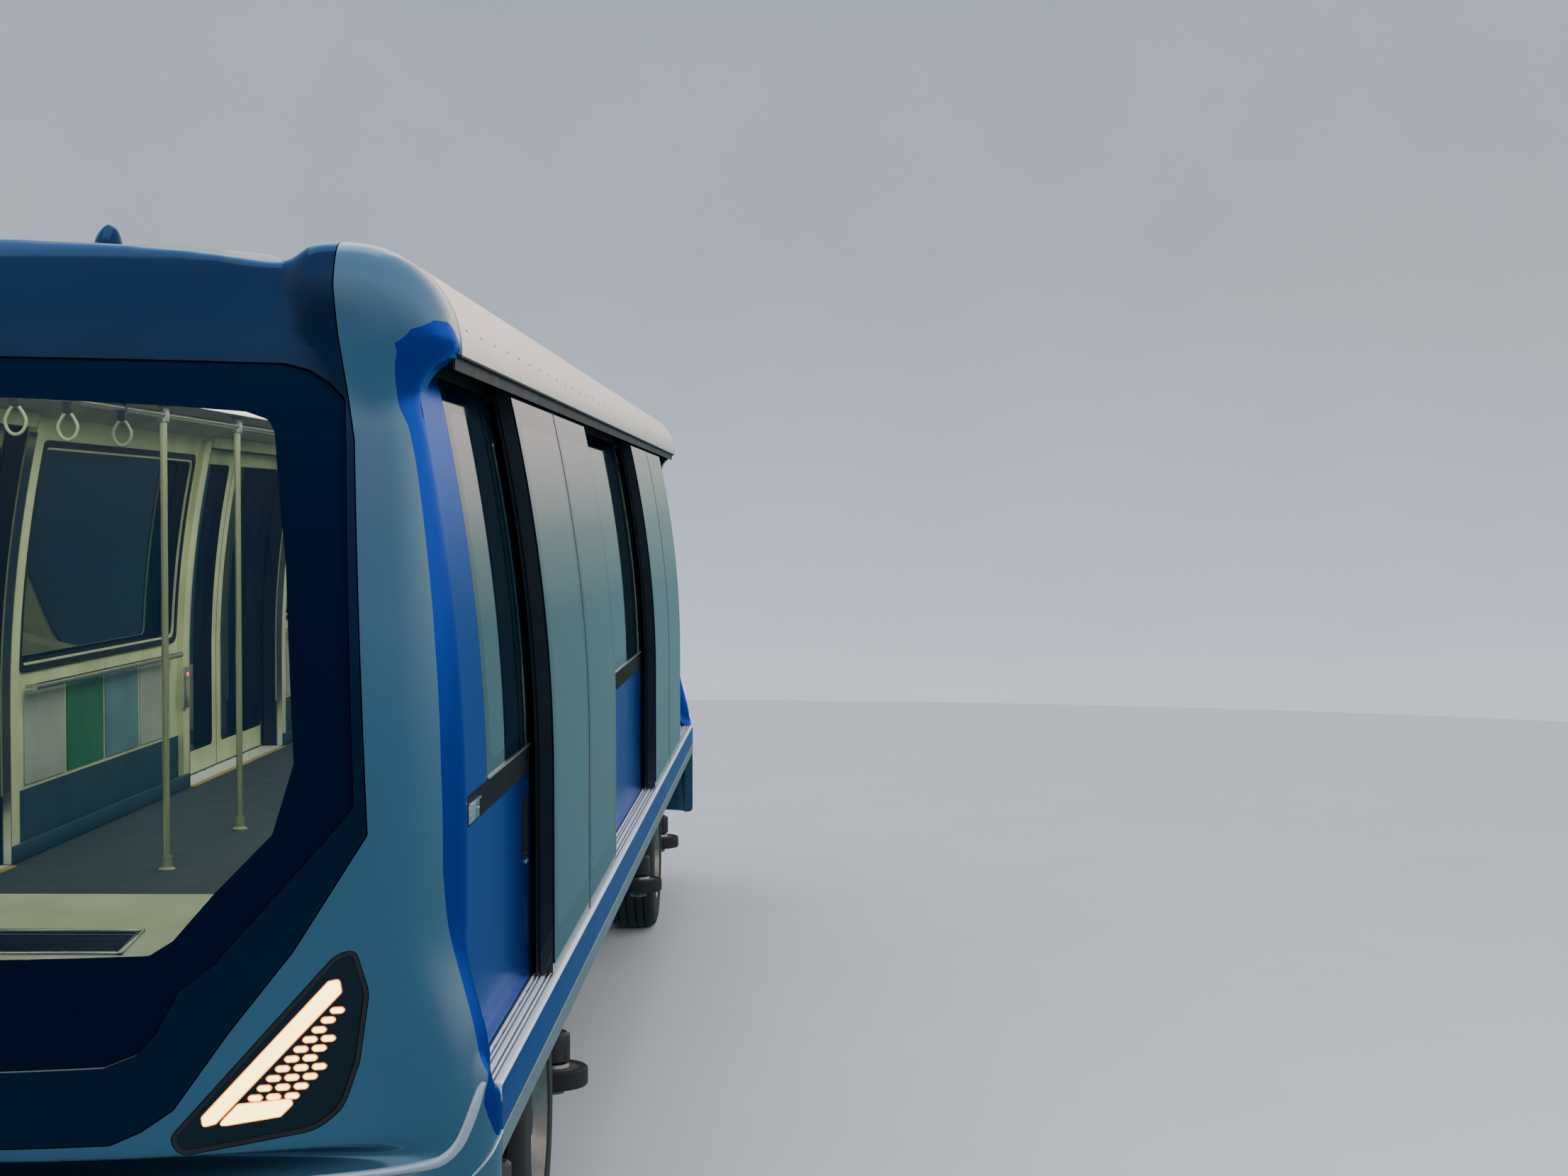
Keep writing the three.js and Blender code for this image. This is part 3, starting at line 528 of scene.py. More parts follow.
def studs(name, places, radius, height, axis, material, sides=8, dome=True):
    """Small round heads at many places, in one mesh. axis points out of the surface."""
    made = bmesh.new()
    turn = Vector(axis).to_track_quat("Z", "Y").to_matrix().to_4x4()
    for place in places:
        seat = Matrix.Translation(Vector(place)) @ turn
        top = radius * DOME_TOP if dome else radius
        bmesh.ops.create_cone(made, cap_ends=True, segments=sides, radius1=radius, radius2=top, depth=height,
                              matrix=seat @ Matrix.Translation((0, 0, height / 2)))
    return from_bmesh(name, made, material)


# Outlines

STRAIGHT_ANGLE, FOLDED_ANGLE = math.radians(179), 1e-3
CORNER_SHARE = 0.48
LEAST_MITRE = 0.4


def span(side, near, far):
    """Two distances from the centre as (low, high) on one side: 1 or -1."""
    return sorted((side * near, side * far))


def circle(radius, count, start=0.0):
    points = []
    for i in range(count):
        angle = start + 2 * math.pi * i / count
        points.append((radius * math.cos(angle), radius * math.sin(angle)))
    return points


def arc(centre_u, centre_v, radius, start, end, steps):
    points = []
    for i in range(steps + 1):
        angle = math.radians(start + (end - start) * i / steps)
        points.append((centre_u + radius * math.cos(angle), centre_v + radius * math.sin(angle)))
    return points


def rounded(outline, radius, steps=6):
    """An outline with its corners turned into arcs, as large as half of each side allows."""
    made = []
    count = len(outline)
    for i in range(count):
        before, here, after = (Vector(outline[(i + k) % count]) for k in (-1, 0, 1))
        to_before, to_after = (before - here), (after - here)
        angle = to_before.angle(to_after)
        if angle > STRAIGHT_ANGLE or angle < FOLDED_ANGLE:
            made.append(tuple(here))
            continue
        reach = min(radius / math.tan(angle / 2), CORNER_SHARE * to_before.length,
                    CORNER_SHARE * to_after.length)
        start = here + to_before.normalized() * reach
        end = here + to_after.normalized() * reach
        for k in range(steps + 1):
            t = k / steps
            made.append(tuple((1 - t) ** 2 * start + 2 * t * (1 - t) * here + t ** 2 * end))
    return made


def mirrored(half):
    """A half outline of (y, z) points from the centreline, with its mirror image."""
    return half + [(-y, z) for y, z in reversed(half) if abs(y) > ON_CENTRELINE]


def rectangle(u0, u1, v0, v1):
    return [(u0, v0), (u1, v0), (u1, v1), (u0, v1)]


def shrunk(outline, by):
    """An outline moved inward by an even distance. The outline runs counter-clockwise."""
    made = []
    count = len(outline)
    for i in range(count):
        before, here, after = (Vector(outline[(i + k) % count]) for k in (-1, 0, 1))
        first, second = (here - before).normalized(), (after - here).normalized()
        normal = Vector((-first.y - second.y, first.x + second.x))
        if normal.length < NEAR:
            normal = Vector((-first.y, first.x))
        normal.normalize()
        share = max(LEAST_MITRE, normal.dot(Vector((-first.y, first.x))))
        made.append(tuple(here + normal * by / share))
    return made


def smooth_line(points, value):
    """A smooth curve through (input, output) points, read at one input."""
    if value <= points[0][0]:
        return points[0][1]
    if value >= points[-1][0]:
        return points[-1][1]
    i = next(k for k in range(1, len(points)) if points[k][0] >= value)
    (x0, y0), (x1, y1) = points[i - 1], points[i]

    def slope(k):
        if k in (0, len(points) - 1):
            return (y1 - y0) / (x1 - x0)
        return (points[k + 1][1] - points[k - 1][1]) / (points[k + 1][0] - points[k - 1][0])

    t = (value - x0) / (x1 - x0)
    width = x1 - x0
    return ((2 * t ** 3 - 3 * t ** 2 + 1) * y0 + (t ** 3 - 2 * t ** 2 + t) * width * slope(i - 1)
            + (3 * t ** 2 - 2 * t ** 3) * y1 + (t ** 3 - t ** 2) * width * slope(i))


def smooth_route(points, steps=8):
    """A smooth line through points."""
    made = []
    count = len(points)
    for i in range(count - 1):
        p = [Vector(points[min(max(k, 0), count - 1)]) for k in (i - 1, i, i + 1, i + 2)]
        square, cube = 2 * p[0] - 5 * p[1] + 4 * p[2] - p[3], 3 * p[1] - p[0] - 3 * p[2] + p[3]
        for k in range(steps):
            t = k / steps
            made.append(0.5 * (2 * p[1] + (p[2] - p[0]) * t + square * t ** 2 + cube * t ** 3))
    made.append(Vector(points[-1]))
    return made


# The side's shape: upright to the waist, then leaning in. The roof's crown is a shallow curve

def crown_z(y):
    """The height of the roof's skin beside the centreline."""
    return CROWN_Z - (CROWN_Z - SEAM_Z) * (y / SEAM_Y) ** 2


def lean_in(z):
    return max(0.0, z - VERTICAL_TO_Z) ** 2 / (2 * TUMBLEHOME_RADIUS)


def on_side(obj, side):
    """A piece made for the left side, on the side that is named."""
    return obj if side > 0 else transformed(obj, MIRROR_Y)


# Ends: plan sections stacked up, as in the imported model

CAP_FRONT_RADIUS = 3.2
APRON_FRONT_RADIUS = 3.4
LEAST_CORNER = 0.03
BEHIND_X = 4.5
CORNER_END_X = WALL_END_X + 0.002
CAP_BOTTOM_Z, CAP_BACK_X = 0.98, WALL_END_X - 0.14
CAP_STEP, CAP_POINTS, APRON_POINTS = 0.025, 20, 28
VOXEL = 0.0145
NOSE_LINE = [(0.9, 5.878), (1.75, 5.88), (2.1, 5.868), (2.45, 5.838), (2.8, 5.785), (3.0, 5.74),
             (3.12, 5.702), (3.22, 5.655), (3.3, 5.595), (3.353, 5.52)]
APRON_TOP = [(5.48, 1.1), (5.515, 1.1), (5.535, 1.12), (5.555, 1.175), (5.571, 1.14), (5.586, 1.108),
             (5.6, 1.065), (5.614, 1.02), (5.627, 0.975), (5.639, 0.943), (5.657, 0.925), (5.7, 0.917),
             (5.96, 0.915)]
APRON_BOTTOM_Z, APRON_BACK_X = 0.47, 5.2
COUPLER_SLOT = ((5.0, -0.4, 0.4), (6.0, 0.4, 0.82))
# Cuts reach past the shape: x behind the ends, y beside them, z below and above
BEYOND_X, BEYOND_Y, BEYOND_Z0, BEYOND_Z1 = 5.0, 1.6, 0.3, 3.6
MASK_BACK_X = 5.43
FRONT_LIMIT_X = 5.96
SKIN = 0.022
LINING = 0.06
GLASS_RECESS, GLASS_THICKNESS, GLASS_GAP = 0.012, 0.008, 0.002
GLASS_Z0, GLASS_Z1 = 1.15, 3.08
PANEL_GAP = 0.0035
REVEAL = 0.004

# Half outlines on the front, from the centreline: (y, z)
MASK_HALF = [(0, 1.02), (0.476, 1.025), (0.553, 1.057), (0.631, 1.109), (0.766, 1.3), (0.924, 1.502),
             (1.104, 1.793), (1.061, 2.816), (1.04, 2.945), (1.016, 3.09), (1.002, 3.22), (1.004, 3.4),
             (0, 3.4)]
GLASS_HALF = [(0, 1.214), (0.461, 1.224), (0.544, 1.255), (0.588, 1.303), (0.646, 1.412), (0.733, 1.478),
              (0.999, 1.78), (1.07, 1.866), (1.04, 2.8), (1.034, 2.925), (0.996, 2.965), (0.945, 2.998),
              (0.88, 3.015), (0, 3.028)]
CLEAR_HALF = [(0, 1.498), (0.571, 1.502), (0.631, 1.539), (0.733, 1.658), (0.872, 1.802), (0.924, 1.982),
              (0.9, 2.488), (0.864, 2.831), (0.849, 2.867), (0.79, 2.888), (0.613, 2.901), (0.223, 2.92),
              (0, 2.925)]
LAMP_OUTLINE = [(0.619, 1.035), (0.646, 0.99), (0.974, 1.036), (1.042, 1.084), (1.083, 1.207), (1.107, 1.385),
                (1.074, 1.499), (1.026, 1.487)]
LAMP_BAR = [(0.702, 1.062), (0.732, 1.069), (1.038, 1.389), (1.033, 1.421), (1.008, 1.417), (0.699, 1.085)]
LAMP_FOOT = [(0.737, 1.061), (0.889, 1.078), (0.918, 1.107), (0.913, 1.119), (0.787, 1.113)]
LAMP_ROWS = [3, 3, 3, 3, 2, 2, 2, 1, 1, 1]
LOZENGE_WIDTH, LOZENGE_HEIGHT, LOZENGE_FLAT = 0.035, 0.0125, 0.62
LOZENGE_PITCH, ROW_PITCH = 0.0445, 0.0238
FIRST_LOZENGE = (0.8285, 1.128)
# The halo round each lit window is painted glow, light spilling from the lamp
HALO_WIDTH, BEZEL_WIDTH = 0.0032, 0.011
# Depths of the lamp's layers below the skin: (outer, inner), and the heights they are cut between
BOWL_DEPTHS, BEZEL_DEPTHS = (0.007, 0.05), (0.001, 0.03)
GLOW_DEPTHS, HALO_DEPTHS = (0.003, 0.012), (0.0055, 0.011)
LAMP_Z0, LAMP_Z1 = 0.95, 1.54

# Where slate paint meets blue on the corner: (x, z), slate in front
COLOUR_LINE = [(5.478, 0.958), (5.532, 0.974), (5.549, 0.997), (5.568, 1.033), (5.579, 1.066), (5.574, 1.095),
               (5.558, 1.134), (5.555, 1.18), (5.552, 1.24), (5.55, 1.31), (5.549, 1.38), (5.552, 1.45),
               (5.559, 1.51), (5.57, 1.59), (5.578, 1.682), (5.577, 1.965), (5.564, 2.298), (5.548, 2.55),
               (5.531, 2.764), (5.528, 2.858), (5.543, 2.95), (5.562, 3.02), (5.572, 3.07), (5.562, 3.108),
               (5.53, 3.133), (5.48, 3.132), (5.4, 3.1), (5.32, 3.06)]

# The corners spread outward at the foot, over the ends of the ledges
FLARE, FLARE_TOP_Z, FLARE_HEIGHT = 0.085, 1.56, 0.46
FLARE_INNER_Y, FLARE_WIDTH = 1.12, 0.13
FLARE_LENGTH = 0.06

# The fairing's rounded end is drawn in toward a line inside the cap: its outline below the arc,
# and the places of its rings as shares of its length
NOSE_PULL_Y, NOSE_PULL_Z, FAIRING_NOSE_LENGTH = 0.96, 3.06, 0.147
FAIRING_INNER = [(RIDGE_Y, RIDGE_Z), (SEAM_Y, SEAM_Z), (0.9, 3.1), (1.1, 2.84)]
FAIRING_COVE = [(1.185, 2.88), (1.196, 2.93), (1.208, 2.975), (1.24, 3.016)]
NOSE_RINGS = (-1.2, 0, 0.15, 0.3, 0.42, 0.54, 0.64, 0.72, 0.8, 0.86, 0.91, 0.95, 0.98)

# Soft joints: the shoulder under the fairing's nose, and the foot where the cap meets the apron
SOFT_BACK_X = WALL_END_X - 0.02
SHOULDER_LOW_Z, SHOULDER_RISE, SHOULDER_RUN, SHOULDER_INNER_Y = 2.82, 0.08, 0.05, 0.7
FOOT_BELOW, FOOT_ABOVE, FOOT_RISE, FOOT_FALL = 0.02, 0.11, 0.03, 0.05
# The skin is snapped onto the sections between the foot and the roof's edge
SNAP_MIDDLE_Y, SNAP_SIDE_Y, SNAP_TOP_Z, SNAP_MIDDLE_RISE, SNAP_FADE = 0.78, 0.88, 2.84, 0.28, 0.05
SNAP_FOOT, SNAP_FOOT_FULL, SNAP_REACH, SNAP_ROUNDS = 0.03, 0.13, 0.03, 12

# The bead along the apron's top edge, its pale paint a painted highlight: x, y, z and half its height
BEAD = [(5.577, 1.393, 1.125, 0.006), (5.586, 1.387, 1.105, 0.012), (5.6, 1.374, 1.064, 0.016),
        (5.614, 1.357, 1.02, 0.016), (5.627, 1.335, 0.975, 0.016), (5.64, 1.305, 0.943, 0.016),
        (5.657, 1.264, 0.926, 0.015),
        (5.697, 1.158, 0.917, 0.012), (5.75, 0.997, 0.914, 0.01), (5.802, 0.81, 0.912, 0.009),
        (5.856, 0.543, 0.91, 0.008), (5.889, 0.272, 0.91, 0.008), (5.9, 0.0, 0.91, 0.008)]
BEAD_DEPTH, BEAD_SHARE, BEAD_PROUD = 0.016, 1.3, 0.003
FOOT_TRIM = [(5.486, 1.4255, 0.974), (5.526, 1.4195, 0.957), (5.562, 1.405, 0.93), (5.598, 1.377, 0.897),
             (5.627, 1.336, 0.86), (5.66, 1.256, 0.81)]
FOOT_TRIM_RADIUS = 0.004


class Section:
    """A plan section: an arc across the front, and corner arcs that run into the sides."""

    def __init__(self, front_x, half_width, front_radius, corner_end_x):
        self.front_radius = front_radius
        self.half_width = half_width
        self.centre_x = front_x - front_radius
        reach = corner_end_x - self.centre_x
        spare = front_radius ** 2 - half_width ** 2 - reach ** 2
        self.corner = max(LEAST_CORNER, spare / (2 * front_radius - 2 * half_width))
        self.corner_y = half_width - self.corner
        self.corner_x = self.centre_x + math.sqrt((front_radius - self.corner) ** 2 - self.corner_y ** 2)
        self.turn = math.atan2(self.corner_y, self.corner_x - self.centre_x)

    def points(self, steps):
        half = []
        for i in range(steps + 1):
            angle = self.turn * i / steps
            half.append((self.centre_x + self.front_radius * math.cos(angle),
                         self.front_radius * math.sin(angle)))
        for i in range(1, steps + 1):
            angle = self.turn + (math.pi / 2 - self.turn) * i / steps
            half.append((self.corner_x + self.corner * math.cos(angle),
                         self.corner_y + self.corner * math.sin(angle)))
        half.append((BEHIND_X, self.half_width))
        return [(x, -y) for x, y in reversed(half[1:])] + half

    def nearest(self, x, y):
        """The place on the section that is nearest to a point close to it."""
        side = 1 if y >= 0 else -1
        away_y = abs(y)
        if math.atan2(away_y, x - self.centre_x) <= self.turn:
            centre, radius = Vector((self.centre_x, 0)), self.front_radius
        elif x > self.corner_x:
            centre, radius = Vector((self.corner_x, self.corner_y)), self.corner
        else:
            return x, side * self.half_width
        place = centre + (Vector((x, away_y)) - centre).normalized() * radius
        return place.x, side * place.y


def share_of(value, low, high):
    """How far a value has come from low to high, from 0 to 1."""
    return min(1.0, max(0.0, (value - low) / (high - low)))


def cap_section(z, inset=0.0):
    half_width = WALL_Y - lean_in(min(z, CEILING_Z)) - inset
    return Section(smooth_line(NOSE_LINE, z) - inset, half_width, CAP_FRONT_RADIUS - inset, CORNER_END_X)


def soft_step(value):
    value = share_of(value, 0, 1)
    return value * value * (3 - 2 * value)


def flare(x, y, z):
    """How far the foot of a corner spreads outward."""
    return (FLARE * soft_step((x - CORNER_END_X) / FLARE_LENGTH)
            * soft_step((abs(y) - FLARE_INNER_Y) / FLARE_WIDTH) * soft_step((FLARE_TOP_Z - z) / FLARE_HEIGHT))


def loft(name, rings, material=None):
    """Closed rings of 3-D points joined one to the next."""
    made = bmesh.new()
    rows = [[made.verts.new(point) for point in ring] for ring in rings]
    count = len(rows[0])
    for low, high in zip(rows, rows[1:]):
        for i in range(count):
            j = (i + 1) % count
            made.faces.new((low[i], low[j], high[j], high[i]))
    made.faces.new(reversed(rows[0]))
    made.faces.new(rows[-1])
    return from_bmesh(name, made, material)


def cap_volume(inset, bottom, top, back_x=CAP_BACK_X, spread=0):
    """The cap's sections between two heights, as a solid. A spread of 1 gives it the flared foot."""
    count = max(1, round((top - bottom) / CAP_STEP))
    rings = []
    for i in range(count + 1):
        z = bottom + (top - bottom) * i / count
        rings.append([(max(x, back_x), y + spread * math.copysign(flare(x, y, z), y), z)
                      for x, y in cap_section(z, inset).points(CAP_POINTS)])
    return loft("cap_volume", rings)


def cap_layer(outer, inner, bottom, top):
    """The part of the cap between two insets."""
    return cut(cap_volume(outer, bottom, top), cap_volume(inner, bottom - 0.01, top + 0.01))


def apron_volume(inset, bottom, top):
    section = Section(NOSE_X - inset, SILL_Y - inset, APRON_FRONT_RADIUS - inset, SKIRT_END_X + 0.002)
    return loft("apron_volume", [[(x, y, z) for x, y in section.points(APRON_POINTS)] for z in (bottom, top)])


def fairing_arc(steps=16):
    return arc(FAIRING_Y, FAIRING_Z, FAIRING_RADIUS, -2, 90, steps)


def fairing_nose():
    """The fairing's rounded end, drawn in toward a line inside the cap."""
    rings = []
    for t in NOSE_RINGS:
        share = (1 - max(0, t) ** 3) ** (1 / 3)
        x = WALL_END_X + FAIRING_NOSE_LENGTH * t
        rings.append([(x, NOSE_PULL_Y + (y - NOSE_PULL_Y) * share, NOSE_PULL_Z + (z - NOSE_PULL_Z) * share)
                      for y, z in fairing_arc() + FAIRING_INNER + FAIRING_COVE])
    return loft("fairing_nose", rings)


def roof_half():
    crown = [(SEAM_Y * t, crown_z(SEAM_Y * t)) for t in (0.9, 0.75, 0.6, 0.45, 0.3, 0.15, 0)]
    return fairing_arc() + [(RIDGE_Y, RIDGE_Z), (SEAM_Y, SEAM_Z)] + crown


def with_mirror(obj):
    """A piece of the left side and its mirror image, in one mesh."""
    return joined(obj.name, [obj, transformed(copy_of(obj), MIRROR_Y)])


def through_front(outline):
    """A cutter along X over the whole depth of an end."""
    return prism("front_cut", outline, MASK_BACK_X, FRONT_LIMIT_X, "x")


def front_prism(half, grow=0.0, radius=0.02):
    """A cutter along X over a mirrored half outline, grown all round, with rounded corners."""
    return through_front(shrunk(rounded(mirrored(half), radius), -grow))


def lamp_prism(grow):
    return with_mirror(through_front(shrunk(rounded(LAMP_OUTLINE, 0.12, 9), -grow)))


def snapped_cap(obj):
    """Pulls the cap's skin onto its exact sections, away from the roof and the apron's top."""
    for vert in obj.data.vertices:
        x, y, z = vert.co
        foot = smooth_line(APRON_TOP, x)
        top = SNAP_TOP_Z + SNAP_MIDDLE_RISE * (1 - share_of(abs(y), SNAP_MIDDLE_Y, SNAP_SIDE_Y))
        weight = share_of(z, foot + SNAP_FOOT, foot + SNAP_FOOT_FULL)
        weight *= 1 - share_of(z, top, top + SNAP_FADE)
        if weight > 0 and x > WALL_END_X - 0.05:
            flat_y = abs(y)
            for _ in range(SNAP_ROUNDS):
                flat_y += (abs(y) - flare(x, flat_y, z) - flat_y) / 2
            near_x, near_y = cap_section(z).nearest(x, flat_y)
            near_y = math.copysign(near_y + flare(near_x, near_y, z), y)
            if math.hypot(near_x - x, near_y - y) < SNAP_REACH:
                vert.co.x += (near_x - x) * weight
                vert.co.y += (near_y - y) * weight
    obj.data.update()
    return obj


def softened(form, name, weight_at, rounds):
    """Smooths the skin where weight_at(x, y, z) is above zero."""
    group = form.vertex_groups.new(name=name)
    for vert in form.data.vertices:
        weight = min(1.0, weight_at(*vert.co))
        if weight > 0:
            group.add([vert.index], weight, "REPLACE")
    modified(form, "SMOOTH", factor=0.5, iterations=rounds, vertex_group=name)


def end_form():
    """The whole end as one solid: cap, apron and fairing noses, with rounded joints."""
    roof = prism("roof_line", mirrored_roof(), WALL_END_X - 0.24, FRONT_LIMIT_X, "x")
    cap = cap_volume(0.0, CAP_BOTTOM_Z, CROWN_Z - 0.001, back_x=WALL_END_X - 0.2, spread=1)
    form = cut(cap, roof, "INTERSECT")
    apron = apron_volume(0.0, APRON_BOTTOM_Z, 1.2)
    profile = [(APRON_BACK_X, 0.4), (FRONT_LIMIT_X, 0.4), *reversed(APRON_TOP), (APRON_BACK_X, 1.1)]
    cut(apron, prism("apron_side", profile, -1.5, 1.5, "y"), "INTERSECT")
    cut(form, apron, "UNION")
    nose = fairing_nose()
    other = transformed(copy_of(nose), MIRROR_Y)
    cut(form, nose, "UNION")
    cut(form, other, "UNION")
    modified(form, "REMESH", mode="VOXEL", voxel_size=VOXEL)
    modified(form, "SMOOTH", factor=0.5, iterations=9)

    def shoulder(x, y, z):
        inside_x = x > SOFT_BACK_X and abs(y) > SHOULDER_INNER_Y
        return min((z - SHOULDER_LOW_Z) / SHOULDER_RISE, (x - SOFT_BACK_X) / SHOULDER_RUN) if inside_x else 0

    def foot(x, _, z):
        rise = z - smooth_line(APRON_TOP, x)
        return min((rise + FOOT_BELOW) / FOOT_RISE, (FOOT_ABOVE - rise) / FOOT_FALL) if x > SOFT_BACK_X else 0

    softened(form, "shoulder", shoulder, 30)
    softened(form, "foot", foot, 25)
    snapped_cap(form)
    modified(form, "SMOOTH", factor=0.5, iterations=10)
    return snapped_cap(form)


def mirrored_roof():
    return mirrored([(1.475, 0.4), (1.475, 3.04)] + roof_half())


def trimmed_end(form):
    """Cuts the end back to the planes where it meets the walls and skirts."""
    skirt_back = SKIRT_END_X + GAP
    wall = WALL_Y + GAP
    inner = [(BEYOND_Y, BEYOND_Z0), (BEYOND_Y, 2.88), (1.2, 2.88), (1.185, 3.0), (1.165, CEILING_Z),
             (SEAM_Y, CEILING_Z), (SEAM_Y, BEYOND_Z1)]
    cut(form, prism("back_cut", mirrored(inner), BEYOND_X, WALL_END_X + GAP, "x"))
    for y0, y1, end_x, top_z in (
        (-BEYOND_Y, BEYOND_Y, FAIRING_END_X, BEYOND_Z1),
        (-BEYOND_Y, BEYOND_Y, skirt_back, CAP_BOTTOM_Z),
        (wall, BEYOND_Y, skirt_back, FLOOR_Z + GAP),
        (-BEYOND_Y, -wall, skirt_back, FLOOR_Z + GAP),
    ):
        cut(form, block("back_cut", (BEYOND_X, y0, BEYOND_Z0), (end_x, y1, top_z)))
    return form


def bead():
    """The rounded bead along the apron's top edge, round the whole front. Its pale paint is a painted
    highlight on the rounded edge.
    """
    right = [(x, -y, z, w) for x, y, z, w in reversed(BEAD[:-1])]
    route = smooth_route([Vector(point) for point in BEAD + right], 4)
    rings = []
    for i, point in enumerate(route):
        ahead = (route[min(i + 1, len(route) - 1)] - route[max(i - 1, 0)]).to_3d().normalized()
        outward = ahead.cross(Vector(UP)).normalized()
        if outward.x < 0:
            outward.negate()
        upward = outward.cross(ahead).normalized()
        half = point.w
        depth = min(BEAD_DEPTH, half * BEAD_SHARE)
        centre = point.to_3d() - outward * (depth - BEAD_PROUD)
        rings.append([centre + upward * half * up + outward * depth * out for up, out in circle(1, 14)])
    return loft("bead", rings, HIGHLIGHT_PAINT)


def foot_trims():
    return with_mirror(pipe("foot_trim", smooth_route(FOOT_TRIM, 5), FOOT_TRIM_RADIUS, TRIM, 10))


# Where the colour line is cut: behind x, beside y, and how far the cut polygon reaches back
LINE_BACK_X, LINE_INNER_Y, LINE_FAR_X, LINE_SLACK = 5.15, 0.85, 4.9, 1e-4


def painted_by_line(obj, line, front, back):
    """Cuts the faces of the corners along a line of (x, z) points and paints each side of it."""
    made = bmesh.new()
    made.from_mesh(obj.data)

    def near(face):
        middle = face.calc_center_median()
        return middle.x > LINE_BACK_X and abs(middle.y) > LINE_INNER_Y

    def bisect(faces, place, normal):
        edges = {edge for face in faces for edge in face.edges}
        verts = {vert for edge in edges for vert in edge.verts}
        bmesh.ops.bisect_plane(made, geom=[*verts, *edges, *faces], plane_co=place, plane_no=normal,
                               dist=NEAR)

    for x, z in line:
        bisect([face for face in made.faces if near(face)], (x, 0, z), UP)
    for (x0, z0), (x1, z1) in zip(line, line[1:]):
        low, high = min(z0, z1) - LINE_SLACK, max(z0, z1) + LINE_SLACK
        if abs(z1 - z0) >= NEAR:
            faces = [face for face in made.faces if near(face) and low < face.calc_center_median().z < high]
            bisect(faces, (x0, 0, z0), (z1 - z0, 0, -(x1 - x0)))
    polygon = line + [(LINE_FAR_X, line[-1][1]), (LINE_FAR_X, line[0][1])]
    for face in made.faces:
        middle = face.calc_center_median()
        behind = near(face) and inside(polygon, middle.x, middle.z)
        face.material_index = 1 if behind else 0
    return refilled(obj, made, (front, back))


def inside(polygon, u, v):
    odd = False
    for (u0, v0), (u1, v1) in zip(polygon, polygon[1:] + polygon[:1]):
        if (v0 > v) != (v1 > v) and u < u0 + (v - v0) * (u1 - u0) / (v1 - v0):
            odd = not odd
    return odd


def recoloured(obj, chooser, extra):
    """Gives faces another material where chooser(centre, normal) says so."""
    obj.data.materials.append(extra)
    index = len(obj.data.materials) - 1
    for polygon in obj.data.polygons:
        if chooser(polygon.center, polygon.normal):
            polygon.material_index = index
    return obj


def facing_in(centre, normal):
    """Whether a face of an end looks back, or toward the centreline."""
    outward = math.copysign(normal.y, centre.y * normal.y)
    return (normal.x < -0.35 and outward < 0.5) or (outward < -0.35 and abs(centre.y) > 0.2)


def lozenges():
    """Outlines of the small lit windows in a lamp, row by row."""
    made = []
    half, up = LOZENGE_WIDTH / 2, LOZENGE_HEIGHT / 2
    flat = half * LOZENGE_FLAT
    for row, count in enumerate(LAMP_ROWS):
        for i in range(count):
            y = FIRST_LOZENGE[0] + row * LOZENGE_PITCH / 2 + i * LOZENGE_PITCH
            z = FIRST_LOZENGE[1] + row * ROW_PITCH
            made.append([(y - half, z), (y - flat, z - up), (y + flat, z - up), (y + half, z),
                         (y + flat, z + up), (y - flat, z + up)])
    return made


def lamp_layer(depths, shape):
    return cut(cap_layer(*depths, LAMP_Z0, LAMP_Z1), shape, "INTERSECT")


def make_lamps():
    """The two lamp clusters of an end: a dark bowl, a bezel, the lit windows and their halo, a ring of
    painted glow round each window.
    """
    bowl = painted(lamp_layer(BOWL_DEPTHS, lamp_prism(-0.001)), LAMP_BODY)
    bezel = lamp_layer(BEZEL_DEPTHS, lamp_prism(-0.0005))
    painted(cut(bezel, lamp_prism(-BEZEL_WIDTH)), SEAL)
    bars = (LAMP_BAR, LAMP_FOOT)
    windows = [through_front(rounded(outline, 0.006, 3)) for outline in bars]
    windows += [through_front(rounded(outline, 0.004, 2)) for outline in lozenges()]
    glow = lamp_layer(GLOW_DEPTHS, with_mirror(joined("lamp_windows", windows)))
    grown = [through_front(shrunk(rounded(outline, 0.008, 3), -HALO_WIDTH))
             for outline in (*bars, *lozenges())]
    return bowl, bezel, glow, lamp_layer(HALO_DEPTHS, joined("halo", grown))


